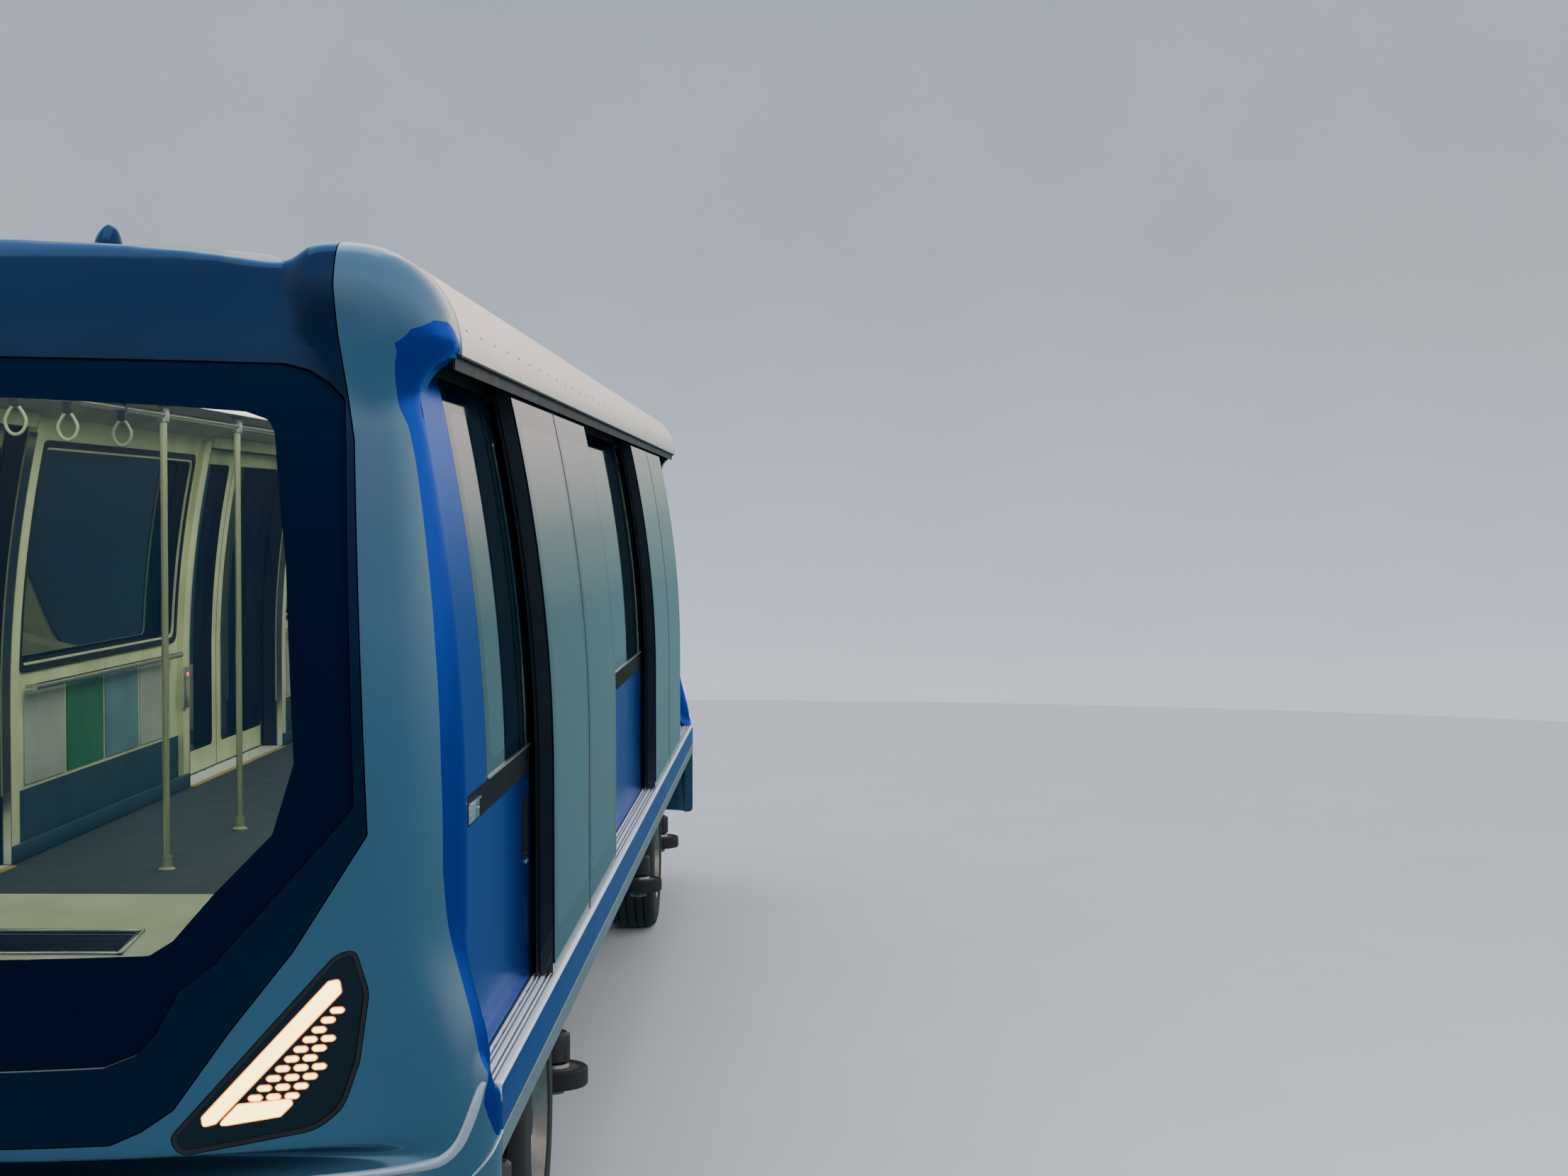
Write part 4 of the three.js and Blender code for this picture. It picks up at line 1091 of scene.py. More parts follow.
def make_ends():
    form = trimmed_end(end_form())
    cut(form, cap_volume(SKIN, FLOOR_Z, CEILING_Z))
    cut(form, apron_volume(LINING, BEYOND_Z0, 0.86))
    cut(form, block("coupler_slot", *COUPLER_SLOT, bevel=0.03))
    cap = cut(copy_of(form, "end_cap"), front_prism(MASK_HALF, PANEL_GAP / 2))
    cut(cap, lamp_prism(PANEL_GAP / 2))
    painted_by_line(cap, COLOUR_LINE, SLATE, BLUE)
    recoloured(cap, lambda centre, normal: facing_in(centre, normal) and centre.z > 1.0, SEAL)

    mask = cut(form, front_prism(MASK_HALF, -PANEL_GAP / 2), "INTERSECT")
    mask.name = "end_mask"
    cut(mask, front_prism(GLASS_HALF, GLASS_GAP))
    cut(mask, lamp_prism(PANEL_GAP / 2))
    painted(mask, MASK)
    opening = shrunk(rounded(mirrored(GLASS_HALF), 0.02), -REVEAL)
    # The reveal round the windscreen's opening gets the pale paint: a painted highlight along the mask's
    # inner lip
    recoloured(mask, lambda centre, normal: abs(normal.x) < 0.5 and inside(opening, centre.y, centre.z), HIGHLIGHT_PAINT)

    screen = cut(cap_layer(GLASS_RECESS, GLASS_RECESS + GLASS_THICKNESS, GLASS_Z0, GLASS_Z1),
                 front_prism(GLASS_HALF, -GLASS_GAP), "INTERSECT")
    clear = painted(cut(copy_of(screen), front_prism(CLEAR_HALF, radius=0.03), "INTERSECT"), SCREEN)
    frit = painted(cut(screen, front_prism(CLEAR_HALF, radius=0.03)), FRIT)

    lining = cap_layer(SKIN + 0.001, LINING, FLOOR_Z + 0.001, CEILING_Z - 0.001)
    cut(lining, block("back_cut", (4.0, -BEYOND_Y, 0.9), (CORNER_END_X, BEYOND_Y, 3.3)))
    cut(lining, front_prism(CLEAR_HALF, 0.012, radius=0.04))
    recoloured(painted(lining, SEAL), facing_in, CREAM)

    bowl, bezel, glow, halo = make_lamps()
    pieces = {
        "end_cap": (joined("end_cap", [cap, bead(), foot_trims()]), "slate_paint", "end_cap_{}", 30),
        "end_mask": (mask, "dark_mask", "end_mask_{}", 30),
        "windscreen": (clear, "tinted_glass", "windscreen_{}", 30),
        "windscreen_border": (frit, "dark_mask", "", 30),
        "end_lining": (lining, "cream_lining", "", 35),
        "lamp_bowls": (bowl, "lamp_lens", "lamp_{}_left lamp_{}_right", 30),
        "lamp_bezels": (bezel, "dark_mask", "", 30),
    }
    for place, turn in END_TURNS.items():
        for name, (piece, slot, stands_for, angle) in pieces.items():
            made = transformed(copy_of(piece, f"{name}_{place}"), turn)
            placed(made, "car_body", [node.format(place) for node in stands_for.split()], angle)
        lights = transformed(copy_of(glow, f"lamp_windows_{place}"), turn)
        painted(lights, HEADLIGHT if place == "front" else TAIL_LENS)
        placed(lights, "car_body")
    # The halo of painted glow, round the front lamps' windows only
    placed(painted(halo, PAINTED_LAMP_GLOW), "car_body")
    drop(*(piece for piece, *_ in pieces.values()), glow)


make_ends()


# Side walls: blue panels, bonded panes, and the lining inside

WINDOWS = {"front": (3.95, 5.03), "middle": (-1.38, 1.38), "rear": (-5.03, -3.95)}
PANE_LAP, PANE_DEPTH, PANE_GLASS, REBATE_GAP = 0.085, 0.012, 0.006, 0.002
CLEAR_LAP, CLEAR_RADIUS, CLEAR_FOOT_SHARE = PANE_LAP + 0.004, 0.07, 0.55
STRIP_BOTTOM_Z = 1.78
WALL_HALF = WALL_END_X - GAP
TRIM_HEIGHT = 0.009
WALL_TOP_Z = 3.118
LINING_DEPTH = 0.012
DADO_TOP_Z = 1.4
ALL_Z = 9
HANDLE_X0, HANDLE_X1, HANDLE_Z0, HANDLE_Z1, HANDLE_DEPTH = 4.05, 4.2, 1.51, 1.71, 0.045
# The handle's blocks, about the recess's middle: (name, x0, x1, y0, y1, z0, z1, material, bevel, segments)
HANDLE_BLOCKS = [
    ("plate", -0.07, 0.07, -0.002, 0.002, HANDLE_Z0 + 0.004, HANDLE_Z1 - 0.004, SEAL, 0.001, 2),
    ("grip", -0.048, -0.02, 0.012, 0.03, 1.535, 1.634, RED_HANDLE, 0.006, 3),
    ("foot", -0.044, -0.024, 0, 0.014, 1.545, 1.56, RED_HANDLE, 0.002, 2),
    ("foot", -0.044, -0.024, 0, 0.014, 1.61, 1.625, RED_HANDLE, 0.002, 2)]
HANDLE_LOCK = [(0, 0), (0.014, 0), (0.014, 0.006), (0.01, 0.009), (0, 0.009)]
DOORWAY_CUT_Z = 1.0
# Where a cut through the left side starts and ends
CUT_Y0, CUT_Y1 = 0.9, 1.6
BAND_STEP = 0.07
# Dark, dull strips on the wall beside each doorway, in the gap behind the leaves: painted shade in that gap
SHADE_STRIP_WIDTH, SHADE_STRIP_DEPTH = 0.066, 0.014
# Corner radii of what is cut through the wall, and how the lining's openings differ
WINDOW_RADIUS, REBATE_RADIUS, DOORWAY_RADIUS, RECESS_RADIUS = 0.07, 0.012, 0.05, 0.02
LINING_LAP, LINING_RADIUS, LINING_DOOR_GAP, LINING_DOOR_RADIUS = PANE_LAP + 0.012, 0.06, 0.01, 0.04
# The blank plate near each corner: middle, half its length, heights, and its rivets
PLATE_X, PLATE_HALF, PLATE_Z0, PLATE_Z1, PLATE_LIP_Z, RIVET_X = 5.33, 0.1, 1.787, 1.838, 1.8435, 0.088


def through_wall(outline, y0=CUT_Y0):
    """A cutter along Y through the left side."""
    return prism("opening", outline, y0, CUT_Y1, "y")


def sliced(made, z):
    geometry = made.verts[:] + made.edges[:] + made.faces[:]
    bmesh.ops.bisect_plane(made, geom=geometry, plane_co=(0, 0, z), plane_no=UP, dist=NEAR_CUT)


def flat_panel(name, outline, outer_y, thickness, material=None):
    return prism(name, outline, outer_y - thickness, outer_y, "y", material)


def bent(obj):
    """Slices a flat panel into bands and bends it to the side's curve."""
    made = bmesh.new()
    made.from_mesh(obj.data)
    heights = [vert.co.z for vert in made.verts]
    z = max(math.ceil(min(heights) / BAND_STEP) * BAND_STEP, VERTICAL_TO_Z)
    while z < max(heights):
        sliced(made, z)
        z += BAND_STEP
    for vert in made.verts:
        vert.co.y -= lean_in(vert.co.z)
    made.to_mesh(obj.data)
    made.free()
    return obj


def banded(obj, bands):
    """Cuts a panel at heights and paints each band: (top z, material), from below."""
    made = bmesh.new()
    made.from_mesh(obj.data)
    for top, _ in bands[:-1]:
        sliced(made, top)
    materials = list(dict.fromkeys(material for _, material in bands))
    for face in made.faces:
        middle = face.calc_center_median()
        material = next(material for top, material in bands if middle.z <= top)
        face.material_index = materials.index(material)
    return refilled(obj, made, materials)


def both_sides(name, obj, body, replaces="", angle=35):
    """A piece made for the left side, and its mirror image on the right."""
    for side, sign in SIDES.items():
        made = on_side(copy_of(obj, f"{name}_{side}"), sign)
        nodes = [node.format(side) for node in replaces.split()]
        placed(made, body.format(side), nodes, angle)
    drop(obj)


def wall_opening(x0, x1, z0, z1, radius, y0=CUT_Y0):
    return through_wall(rounded(rectangle(x0, x1, z0, z1), radius), y0)


def make_side_walls():
    wall = flat_panel("side_wall", rectangle(-WALL_HALF, WALL_HALF, FLOOR_Z + GAP, WALL_TOP_Z), WALL_Y,
                      WALL_THICKNESS - LINING_DEPTH)
    lap, gap = PANE_LAP, REBATE_GAP
    for x0, x1 in WINDOWS.values():
        cut(wall, wall_opening(x0 + lap, x1 - lap, PANE_BOTTOM_Z + lap, PANE_TOP_Z - lap, WINDOW_RADIUS))
        cut(wall, wall_opening(x0 - gap, x1 + gap, PANE_BOTTOM_Z - gap, PANE_TOP_Z + gap, REBATE_RADIUS,
                               WALL_Y - PANE_DEPTH))
    for x in (-DOOR_X, DOOR_X):
        cut(wall, wall_opening(x - DOORWAY_HALF, x + DOORWAY_HALF, DOORWAY_CUT_Z, DOORWAY_TOP_Z,
                               DOORWAY_RADIUS))
    for sign in (1, -1):
        cut(wall, wall_opening(*span(sign, HANDLE_X0, HANDLE_X1), HANDLE_Z0, HANDLE_Z1, RECESS_RADIUS,
                               WALL_Y - HANDLE_DEPTH))
    bent(wall)
    banded(wall, [(STRIP_BOTTOM_Z, BLUE), (PANE_BOTTOM_Z, DARK_BAND_AND_SHADE), (PANE_TOP_Z - 0.002, BLUE),
                  (ALL_Z, SEAL)])
    recoloured(wall, lambda centre, normal: centre.y < WALL_Y - 0.02 - lean_in(centre.z) or normal.y < 0.2,
               SEAL)
    both_sides("side_wall", wall, "car_body", "side_wall_{}", 30)


# Painted shade: a dark, dull strip on the wall at each doorway edge, in the gap behind the leaf
def make_gap_shade_strips():
    strips = []
    for x in (-DOOR_X, DOOR_X):
        for sign in (1, -1):
            x0, x1 = sorted((x + sign * (DOORWAY_HALF + 0.002), x + sign * (DOORWAY_HALF + SHADE_STRIP_WIDTH)))
            outline = rectangle(x0, x1, FLOOR_Z + GAP + 0.002, DOORWAY_TOP_Z - 0.005)
            strips.append(bent(flat_panel("gap_shade_strip", outline, WALL_Y + SHADE_STRIP_DEPTH, SHADE_STRIP_DEPTH + 0.001,
                                          DARK_BAND_AND_SHADE)))
    both_sides("gap_shade_strips", joined("gap_shade_strips", strips), "car_body", angle=30)


def make_wall_lining():
    lining = flat_panel("wall_lining", rectangle(-WALL_HALF, WALL_HALF, FLOOR_Z + 0.002, WALL_TOP_Z - 0.002),
                        WALL_Y - WALL_THICKNESS + LINING_DEPTH - 0.0005, LINING_DEPTH - 0.001)
    lap, gap = LINING_LAP, LINING_DOOR_GAP
    for x0, x1 in WINDOWS.values():
        cut(lining, wall_opening(x0 + lap, x1 - lap, PANE_BOTTOM_Z + lap, PANE_TOP_Z - lap, LINING_RADIUS))
    half = DOORWAY_HALF + gap
    for x in (-DOOR_X, DOOR_X):
        cut(lining, wall_opening(x - half, x + half, DOORWAY_CUT_Z, DOORWAY_TOP_Z + gap,
                                 LINING_DOOR_RADIUS))
    banded(bent(lining), [(DADO_TOP_Z, DADO), (ALL_Z, CREAM)])
    both_sides("wall_lining", lining, "car_body")


def make_panes():
    """Bonded panes: clear in the middle, with a black border fired on."""
    lap = CLEAR_LAP
    for place, (x0, x1) in WINDOWS.items():
        edge = rectangle(x0, x1, PANE_BOTTOM_Z + TRIM_HEIGHT, PANE_TOP_Z)
        pane = flat_panel("pane", rounded(edge, 0.012), WALL_Y, PANE_GLASS)
        opening = rounded(rectangle(x0 + lap, x1 - lap, PANE_BOTTOM_Z + lap * CLEAR_FOOT_SHARE,
                                    PANE_TOP_Z - lap),
                          CLEAR_RADIUS)
        clear = cut(copy_of(pane), through_wall(opening), "INTERSECT")
        border = cut(pane, through_wall(opening))
        both_sides(f"window_border_{place}", painted(bent(border), FRIT), "car_body")
        both_sides(f"window_{place}", painted(bent(clear), SIDE_GLASS), "car_body",
                   f"window_{place}_{{}}")
        edge = rectangle(x0 + 0.005, x1 - 0.005, PANE_BOTTOM_Z, PANE_BOTTOM_Z + TRIM_HEIGHT - 0.001)
        trim = flat_panel("trim", rounded(edge, 0.003, 2), WALL_Y + 0.004, PANE_DEPTH)
        both_sides(f"window_trim_{place}", painted(bent(trim), TRIM), "car_body")


def make_wall_plates():
    """A small blank plate near each corner, with a lip along its top."""
    low, high = WALL_Y - 0.001, WALL_Y + 0.004
    lip_half = PLATE_HALF + 0.003
    for place, sign in ENDS.items():
        x = sign * PLATE_X
        plate = block("plate", (x - PLATE_HALF, low, PLATE_Z0), (x + PLATE_HALF, high, PLATE_Z1), TRIM,
                      0.0015)
        lip = block("lip", (x - lip_half, low, PLATE_Z1), (x + lip_half, high + 0.006, PLATE_LIP_Z), TRIM,
                    0.0015)
        places = [(x + step, high, 1.812) for step in (-RIVET_X, RIVET_X)]
        rivets = studs("rivets", places, 0.004, 0.0015, OUTWARD, STAINLESS, 12)
        both_sides(f"wall_plate_{place}", joined("plates", [plate, lip, rivets]), "car_body")


def make_door_handles():
    """The emergency handle in its recess beside each end window."""
    y = WALL_Y - HANDLE_DEPTH + 0.001
    for place, sign in ENDS.items():
        x = sign * (HANDLE_X0 + HANDLE_X1) / 2
        pieces = [block(name, (x + x0, y + y0, z0), (x + x1, y + y1, z1), material, bevel, segments)
                  for name, x0, x1, y0, y1, z0, z1, material, bevel, segments in HANDLE_BLOCKS]
        pieces += [
            lathe("lock", HANDLE_LOCK, "y", (x + 0.03, y, 1.6), 24, STAINLESS),
            block("latch", (x - 0.05, WALL_Y - 0.002, 1.494), (x + 0.01, WALL_Y + 0.006, 1.506), TRIM, 0.002),
        ]
        both_sides(f"door_release_{place}", joined("release", pieces), "car_body")


make_side_walls()
make_gap_shade_strips()
make_wall_lining()
make_panes()
make_wall_plates()
make_door_handles()


# Door leaves: a dark frame, a bonded pane, edge seals, and the arms and rollers above

LEAF_GLASS, LEAF_EDGE = 0.006, 0.004
LEAF_BORDER, BORDER_FOOT, BORDER_TOP, BORDER_RADIUS = 0.105, 0.13, 0.11, 0.05
LEAF_FOOT_HEIGHT = 0.033
# The two leaves meet with half this gap each, and a rubber seal along the edge
MEETING_GAP, SEAL_WIDTH = 0.0015, 0.014
RAIL_Y, RAIL_TOP_Z = 1.212, 3.127
ARM_Y0, ARM_Y1, ARM_HALF, ARM_X = 1.228, 1.24, 0.06, 0.42
ROLLER_RADIUS = 0.018
ROLLER_Z = RAIL_TOP_Z + ROLLER_RADIUS + GAP
ROLLER = [(0, RAIL_Y - 0.013), (0.012, RAIL_Y - 0.013), (ROLLER_RADIUS, RAIL_Y - 0.009),
          (ROLLER_RADIUS, RAIL_Y + 0.009), (0.012, RAIL_Y + 0.013), (0.012, ARM_Y0), (0, ARM_Y0)]


def make_leaf(doorway_x, step):
    """One leaf of the left side. It meets the other at the doorway's middle, and step points away from it."""
    near = doorway_x + step * MEETING_GAP
    far = near + step * LEAF_WIDTH
    x0, x1 = sorted((near, far))
    low, high = LEAF_BOTTOM_Z, LEAF_TOP_Z
    opening = rounded(rectangle(x0 + LEAF_BORDER, x1 - LEAF_BORDER, low + BORDER_FOOT, high - BORDER_TOP),
                      BORDER_RADIUS)
    frame_edge = rounded(rectangle(x0 + LEAF_EDGE, x1 - LEAF_EDGE, low, high), 0.012)
    shell = flat_panel("leaf_frame", frame_edge, LEAF_Y - LEAF_GLASS, LEAF_THICKNESS - LEAF_GLASS)
    cut(shell, through_wall(opening))
    painted(bent(shell), LEAF_FRAME)
    recoloured(shell, lambda centre, normal: normal.y < -0.9 and abs(centre.x - doorway_x) < DOORWAY_HALF,
               CREAM)
    glass_edge = rounded(rectangle(x0 + 0.006, x1 - 0.006, low + 0.035, high - LEAF_EDGE), 0.014)
    sheet = flat_panel("leaf_glass", glass_edge, LEAF_Y, LEAF_GLASS - 0.0005)
    clear = painted(bent(cut(copy_of(sheet), through_wall(opening), "INTERSECT")), SIDE_GLASS)
    border = painted(bent(cut(sheet, through_wall(opening))), FRIT)
    foot = flat_panel("leaf_foot", rectangle(x0 + 0.006, x1 - 0.006, low + 0.001, low + LEAF_FOOT_HEIGHT),
                      LEAF_Y - 0.0005, 0.006, TRIM)
    lip_x = sorted((near - step * 0.0005, near + step * SEAL_WIDTH))
    seal = flat_panel("meeting_seal", rounded(rectangle(*lip_x, low + 0.002, high - 0.002), 0.005, 3),
                      LEAF_Y + 0.0005, LEAF_THICKNESS * 0.8, BELLOWS)
    # A dark, dull strip at the leaf's far edge: painted shade in the gap between the leaf and the wall
    edge_x = sorted((far, far - step * 0.005))
    edge = flat_panel("edge_strip", rectangle(*edge_x, low + LEAF_EDGE, high - LEAF_EDGE), LEAF_Y - 0.048,
                      0.005, DARK_BAND_AND_SHADE)
    parts = [shell, border, foot, bent(seal), bent(edge)]
    for offset in (-ARM_X, ARM_X):
        x = (x0 + x1) / 2 + offset
        parts += [
            block("arm", (x - ARM_HALF, ARM_Y0, high - 0.02), (x + ARM_HALF, ARM_Y1, ROLLER_Z + 0.02),
                  BARE_STEEL, 0.003),
            lathe("roller", ROLLER, "y", (x, 0, ROLLER_Z), 24, BARE_STEEL),
        ]
    return joined("leaf", parts), clear


def make_doors():
    for place, sign in ENDS.items():
        for leaf, step in (("fore", 1), ("aft", -1)):
            shell, clear = make_leaf(sign * DOOR_X, step)
            for side, mirror in SIDES.items():
                leaf_name = f"{place}_{side}_{leaf}"
                body = f"door_{leaf_name}"
                placed(on_side(copy_of(shell, f"leaf_{leaf_name}"), mirror), body, [body])
                placed(on_side(copy_of(clear, f"leaf_pane_{leaf_name}"), mirror), body)
            drop(shell, clear)


make_doors()


# Sills: a ribbed ledge beside the floor, with a blue skirt and a grey lip below

SKIRT_BREAK_Z = 0.97
GROOVE_Z = 1.0885
LEDGE_FOOT_Z, SKIRT_TOP_Z, SKIRT_DEPTH = 1.05, 1.0495, 0.02
# Ribs of the ledge's top: (inner y, outer y, top z)
RIBS = [(1.334, 1.343, 1.1), (1.35, 1.3565, 1.0985), (1.364, 1.378, 1.1), (1.386, 1.393, 1.0995),
        (1.4005, SILL_Y, 1.1)]
LEDGE_NOSE = [(SILL_Y - 0.007, 1.1), (SILL_Y - 0.002, 1.098), (SILL_Y, 1.093), (SILL_Y, LEDGE_FOOT_Z)]
LIP_OUTLINE = [(SILL_Y - 0.0035, SKIRT_BREAK_Z - 0.001), (SILL_Y - 0.024, SKIRT_BREAK_Z - 0.001),
               (SILL_Y - 0.024, SILL_BOTTOM_Z), (SILL_Y - 0.006, SILL_BOTTOM_Z),
               (SILL_Y, SILL_BOTTOM_Z + 0.006), (SILL_Y, SKIRT_BREAK_Z - 0.006)]
TAB_PITCH, TAB_COUNT, TAB_HALF = 0.2, 26, 0.012


def ledge_profile():
    """Outline of the ledge's top, from the wall outward: (y, z)."""
    points = [(WALL_Y + GAP, LEDGE_FOOT_Z), (WALL_Y + GAP, GROOVE_Z)]
    for inner, outer, z in RIBS:
        points += [(inner, GROOVE_Z), (inner + 0.0008, z - 0.0008), (inner + 0.002, z), (outer - 0.002, z),
                   (outer - 0.0008, z - 0.0008), (outer, GROOVE_Z)]
    return points[:-4] + LEDGE_NOSE


def make_sills():
    end = SKIRT_END_X - GAP
    ledge = prism("ledge", ledge_profile()[::-1], -end, end, "x", LEDGE)
    # The floors of the grooves between the ribs are painted dark
    recoloured(ledge, lambda centre, normal: centre.z < GROOVE_Z + 0.0005 and normal.z > 0.9, DARK_GROOVE_FLOOR)
    recoloured(ledge, lambda centre, normal: centre.z < 1.09 and normal.y > 0.9
               and centre.y > SILL_Y - 0.001, BLUE)
    outline = [(SILL_Y, SKIRT_TOP_Z), (SILL_Y - SKIRT_DEPTH, SKIRT_TOP_Z),
               (SILL_Y - SKIRT_DEPTH, SKIRT_BREAK_Z), (SILL_Y, SKIRT_BREAK_Z)]
    pieces = [ledge, prism("skirt", outline, -end, end, "x", BLUE),
              prism("lip", LIP_OUTLINE, -end, end, "x", LIP_GREY)]
    for k in range(-TAB_COUNT, TAB_COUNT + 1):
        x = k * TAB_PITCH
        pieces.append(block("tab", (x - TAB_HALF, 1.3485, 1.0965), (x + TAB_HALF, 1.3505, 1.101), SEAL,
                            0.0005, 1))
    both_sides("sill", joined("sill", pieces), "car_body", "sill_{}", 25)


make_sills()


# Roof: the deck, the fairings over the doors, and the air conditioners

AIR_X, AIR_LENGTH, AIR_WIDTH = 2.55, 2.1, 1.3
AIR_Z, AIR_TOP_Z = 3.365, 3.56
FAN_STEP, FAN_RADIUS = 0.52, 0.3
DECK_SIDE_Y = 1.17
SHOULDER_Z = 3.255
DECK_SEAMS, SEAM_WIDTH, SEAM_DEPTH = (-4.2, -1.0, 1.0, 4.2), 0.006, 0.004
# The aerial's cover: its middle and height, half its width, and where its foot starts and ends
FIN_Y, FIN_HEIGHT, FIN_HALF, FIN_FRONT_X, FIN_BACK_X = 0.238, 0.107, 0.043, 5.05, 4.885
FIN_RINGS, FIN_SIDES = 12, 24
FIN_FOOT = [(0, 0), (0.1, 0), (0.1, 0.003), (0.094, 0.006), (0, 0.006)]
FAIRING_INNER_RADIUS, FAIRING_JOINT = FAIRING_RADIUS - 0.03, 0.004
FAIRING_TOP = [(RIDGE_Y + 0.004, RIDGE_Z), (RIDGE_Y - 0.012, RIDGE_Z - 0.008),
               (SEAM_Y + 0.02, SEAM_Z + 0.016), (SEAM_Y + GAP, SEAM_Z + 0.001),
               (SEAM_Y + GAP, SHOULDER_Z + GAP)]
LIP_SEAL = [(1.2775, 3.0565), (1.302, 3.0565), (1.302, 3.0505), (1.2865, 3.0505), (1.2845, 3.016),
            (1.2795, 3.016)]
BOLT_ANGLE, BOLT_PITCH, BOLT_COUNT = math.radians(14), 0.305, 17
# An air conditioner's fan well, collar and hub, about its top: (radius, height)
FAN_WELL = [(0, -0.06), (FAN_RADIUS, -0.06), (FAN_RADIUS, 0.1), (0, 0.1)]
FAN_COLLAR = [(FAN_RADIUS - 0.001, -0.06), (FAN_RADIUS + 0.018, -0.06), (FAN_RADIUS + 0.018, -0.004),
              (FAN_RADIUS + 0.014, 0), (FAN_RADIUS + 0.003, 0), (FAN_RADIUS - 0.001, -0.004)]
FAN_HUB = [(0, -0.05), (0.07, -0.05), (0.07, -0.012), (0.05, -0.006), (0, -0.006)]
BLADE, BLADE_PITCH, BLADES = ((0.06, -0.055, -0.032), (0.275, 0.055, -0.028)), math.radians(18), 6
GUARD_RADII, GUARD_WIRE, SPOKE_LENGTH = (0.06, 0.105, 0.15, 0.195, 0.24, 0.285), 0.0025, 0.3
AIR_SIDE_Z, AIR_EDGE, AIR_EDGE_Z = 3.43, 0.006, 3.446
SLOT_ROWS, SLOT_PITCH, SLOT_HEIGHT, SLOT_X0, SLOT_X1 = 6, 0.011, 0.005, 0.15, 0.85
SCREW_X, SCREW_Y = (-0.98, -0.05, 0.05, 0.98), (-0.5, -0.25, 0.25, 0.5)


def make_roof_deck():
    edge = SEAM_Y - 0.003
    crown = [(edge * t, crown_z(edge * t)) for t in (1, 0.9, 0.8, 0.7, 0.6, 0.5, 0.4, 0.3, 0.2, 0.1, 0)]
    half = [(DECK_SIDE_Y, CEILING_Z + GAP), (DECK_SIDE_Y, SHOULDER_Z), (edge, SHOULDER_Z)] + crown
    deck = prism("roof_deck", mirrored(half), -WALL_HALF, WALL_HALF, "x", ROOF_PANEL)
    bottom = [(y, crown_z(y) - SEAM_DEPTH) for y in (-0.87, -0.6, -0.3, 0, 0.3, 0.6, 0.87)]
    for x in DECK_SEAMS:
        groove = bottom + [(0.87, 3.4), (-0.87, 3.4)]
        cut(deck, prism("seam", groove, x - SEAM_WIDTH / 2, x + SEAM_WIDTH / 2, "x"))
    painted(deck, ROOF_PANEL)
    half_length, half_width = AIR_LENGTH / 2 - 0.02, 0.6
    plinths = [block("plinth", (x - half_length, -half_width, CROWN_Z - 0.06),
                     (x + half_length, half_width, AIR_Z), SEAL, 0.008) for x in (-AIR_X, AIR_X)]
    placed(joined("roof_deck_dressed", [deck, *plinths, make_fin()]), "car_body", ["roof_deck"])


def make_fin():
    """The aerial's cover: rounded rings that narrow and lean back toward the tip."""
    rings = []
    for k in range(FIN_RINGS + 1):
        t = math.sin(math.pi / 2 * k / FIN_RINGS)
        half_width = FIN_HALF * math.sqrt(max(0.0, 1 - t ** 2.2)) + 0.0015
        front = FIN_FRONT_X - 0.085 * t ** 1.6
        back = FIN_BACK_X + 0.045 * t
        z = CROWN_Z - 0.006 + FIN_HEIGHT * t
        rings.append([((front + back) / 2 + (front - back) / 2 * along, FIN_Y + half_width * across, z)
                      for along, across in circle(1, FIN_SIDES)])
    foot = lathe("fin_foot", FIN_FOOT, "z", ORIGIN, 36, SEAL)
    transformed(foot, Matrix.Translation((4.968, FIN_Y, CROWN_Z - 0.007)) @ Matrix.Diagonal((1, 0.5, 1, 1)))
    return joined("fin", [loft("fin", rings, MASK), foot])


def make_fairings():
    inner_top = math.degrees(math.asin((SHOULDER_Z + GAP - FAIRING_Z) / FAIRING_INNER_RADIUS))
    inner = arc(FAIRING_Y, FAIRING_Z, FAIRING_INNER_RADIUS, inner_top, -2, 16)
    outline = fairing_arc(28) + FAIRING_TOP + inner
    end = FAIRING_END_X - GAP
    gap = FAIRING_JOINT / 2
    # The fairings' paint carries a painted reflection: its warm, pinkish tint
    pieces = [prism("fairing", outline, x0, x1, "x", SILVER_WITH_PAINTED_REFLECTION) for x0, x1 in ((-end, -gap), (gap, end))]
    joint = (arc(FAIRING_Y, FAIRING_Z, FAIRING_RADIUS - 0.006, -2, 90, 24)
             + arc(FAIRING_Y, FAIRING_Z, FAIRING_RADIUS - 0.028, 90, -2, 24))
    pieces += [prism("lip_seal", LIP_SEAL, -end, end, "x", SEAL),
               prism("joint", joint, -FAIRING_JOINT, FAIRING_JOINT, "x", SEAL)]
    out, up = math.cos(BOLT_ANGLE), math.sin(BOLT_ANGLE)
    places = [(k * BOLT_PITCH, FAIRING_Y + FAIRING_RADIUS * out, FAIRING_Z + FAIRING_RADIUS * up)
              for k in range(-BOLT_COUNT, BOLT_COUNT + 1) if k]
    pieces.append(studs("bolts", places, 0.006, 0.0022, (0, out, up), STAINLESS, 10))
    both_sides("roof_fairing", joined("fairing", pieces), "car_body", "roof_fairing_{}", 30)


def air_lid_z(y):
    return AIR_TOP_Z - 0.008 - 0.4 * y * y


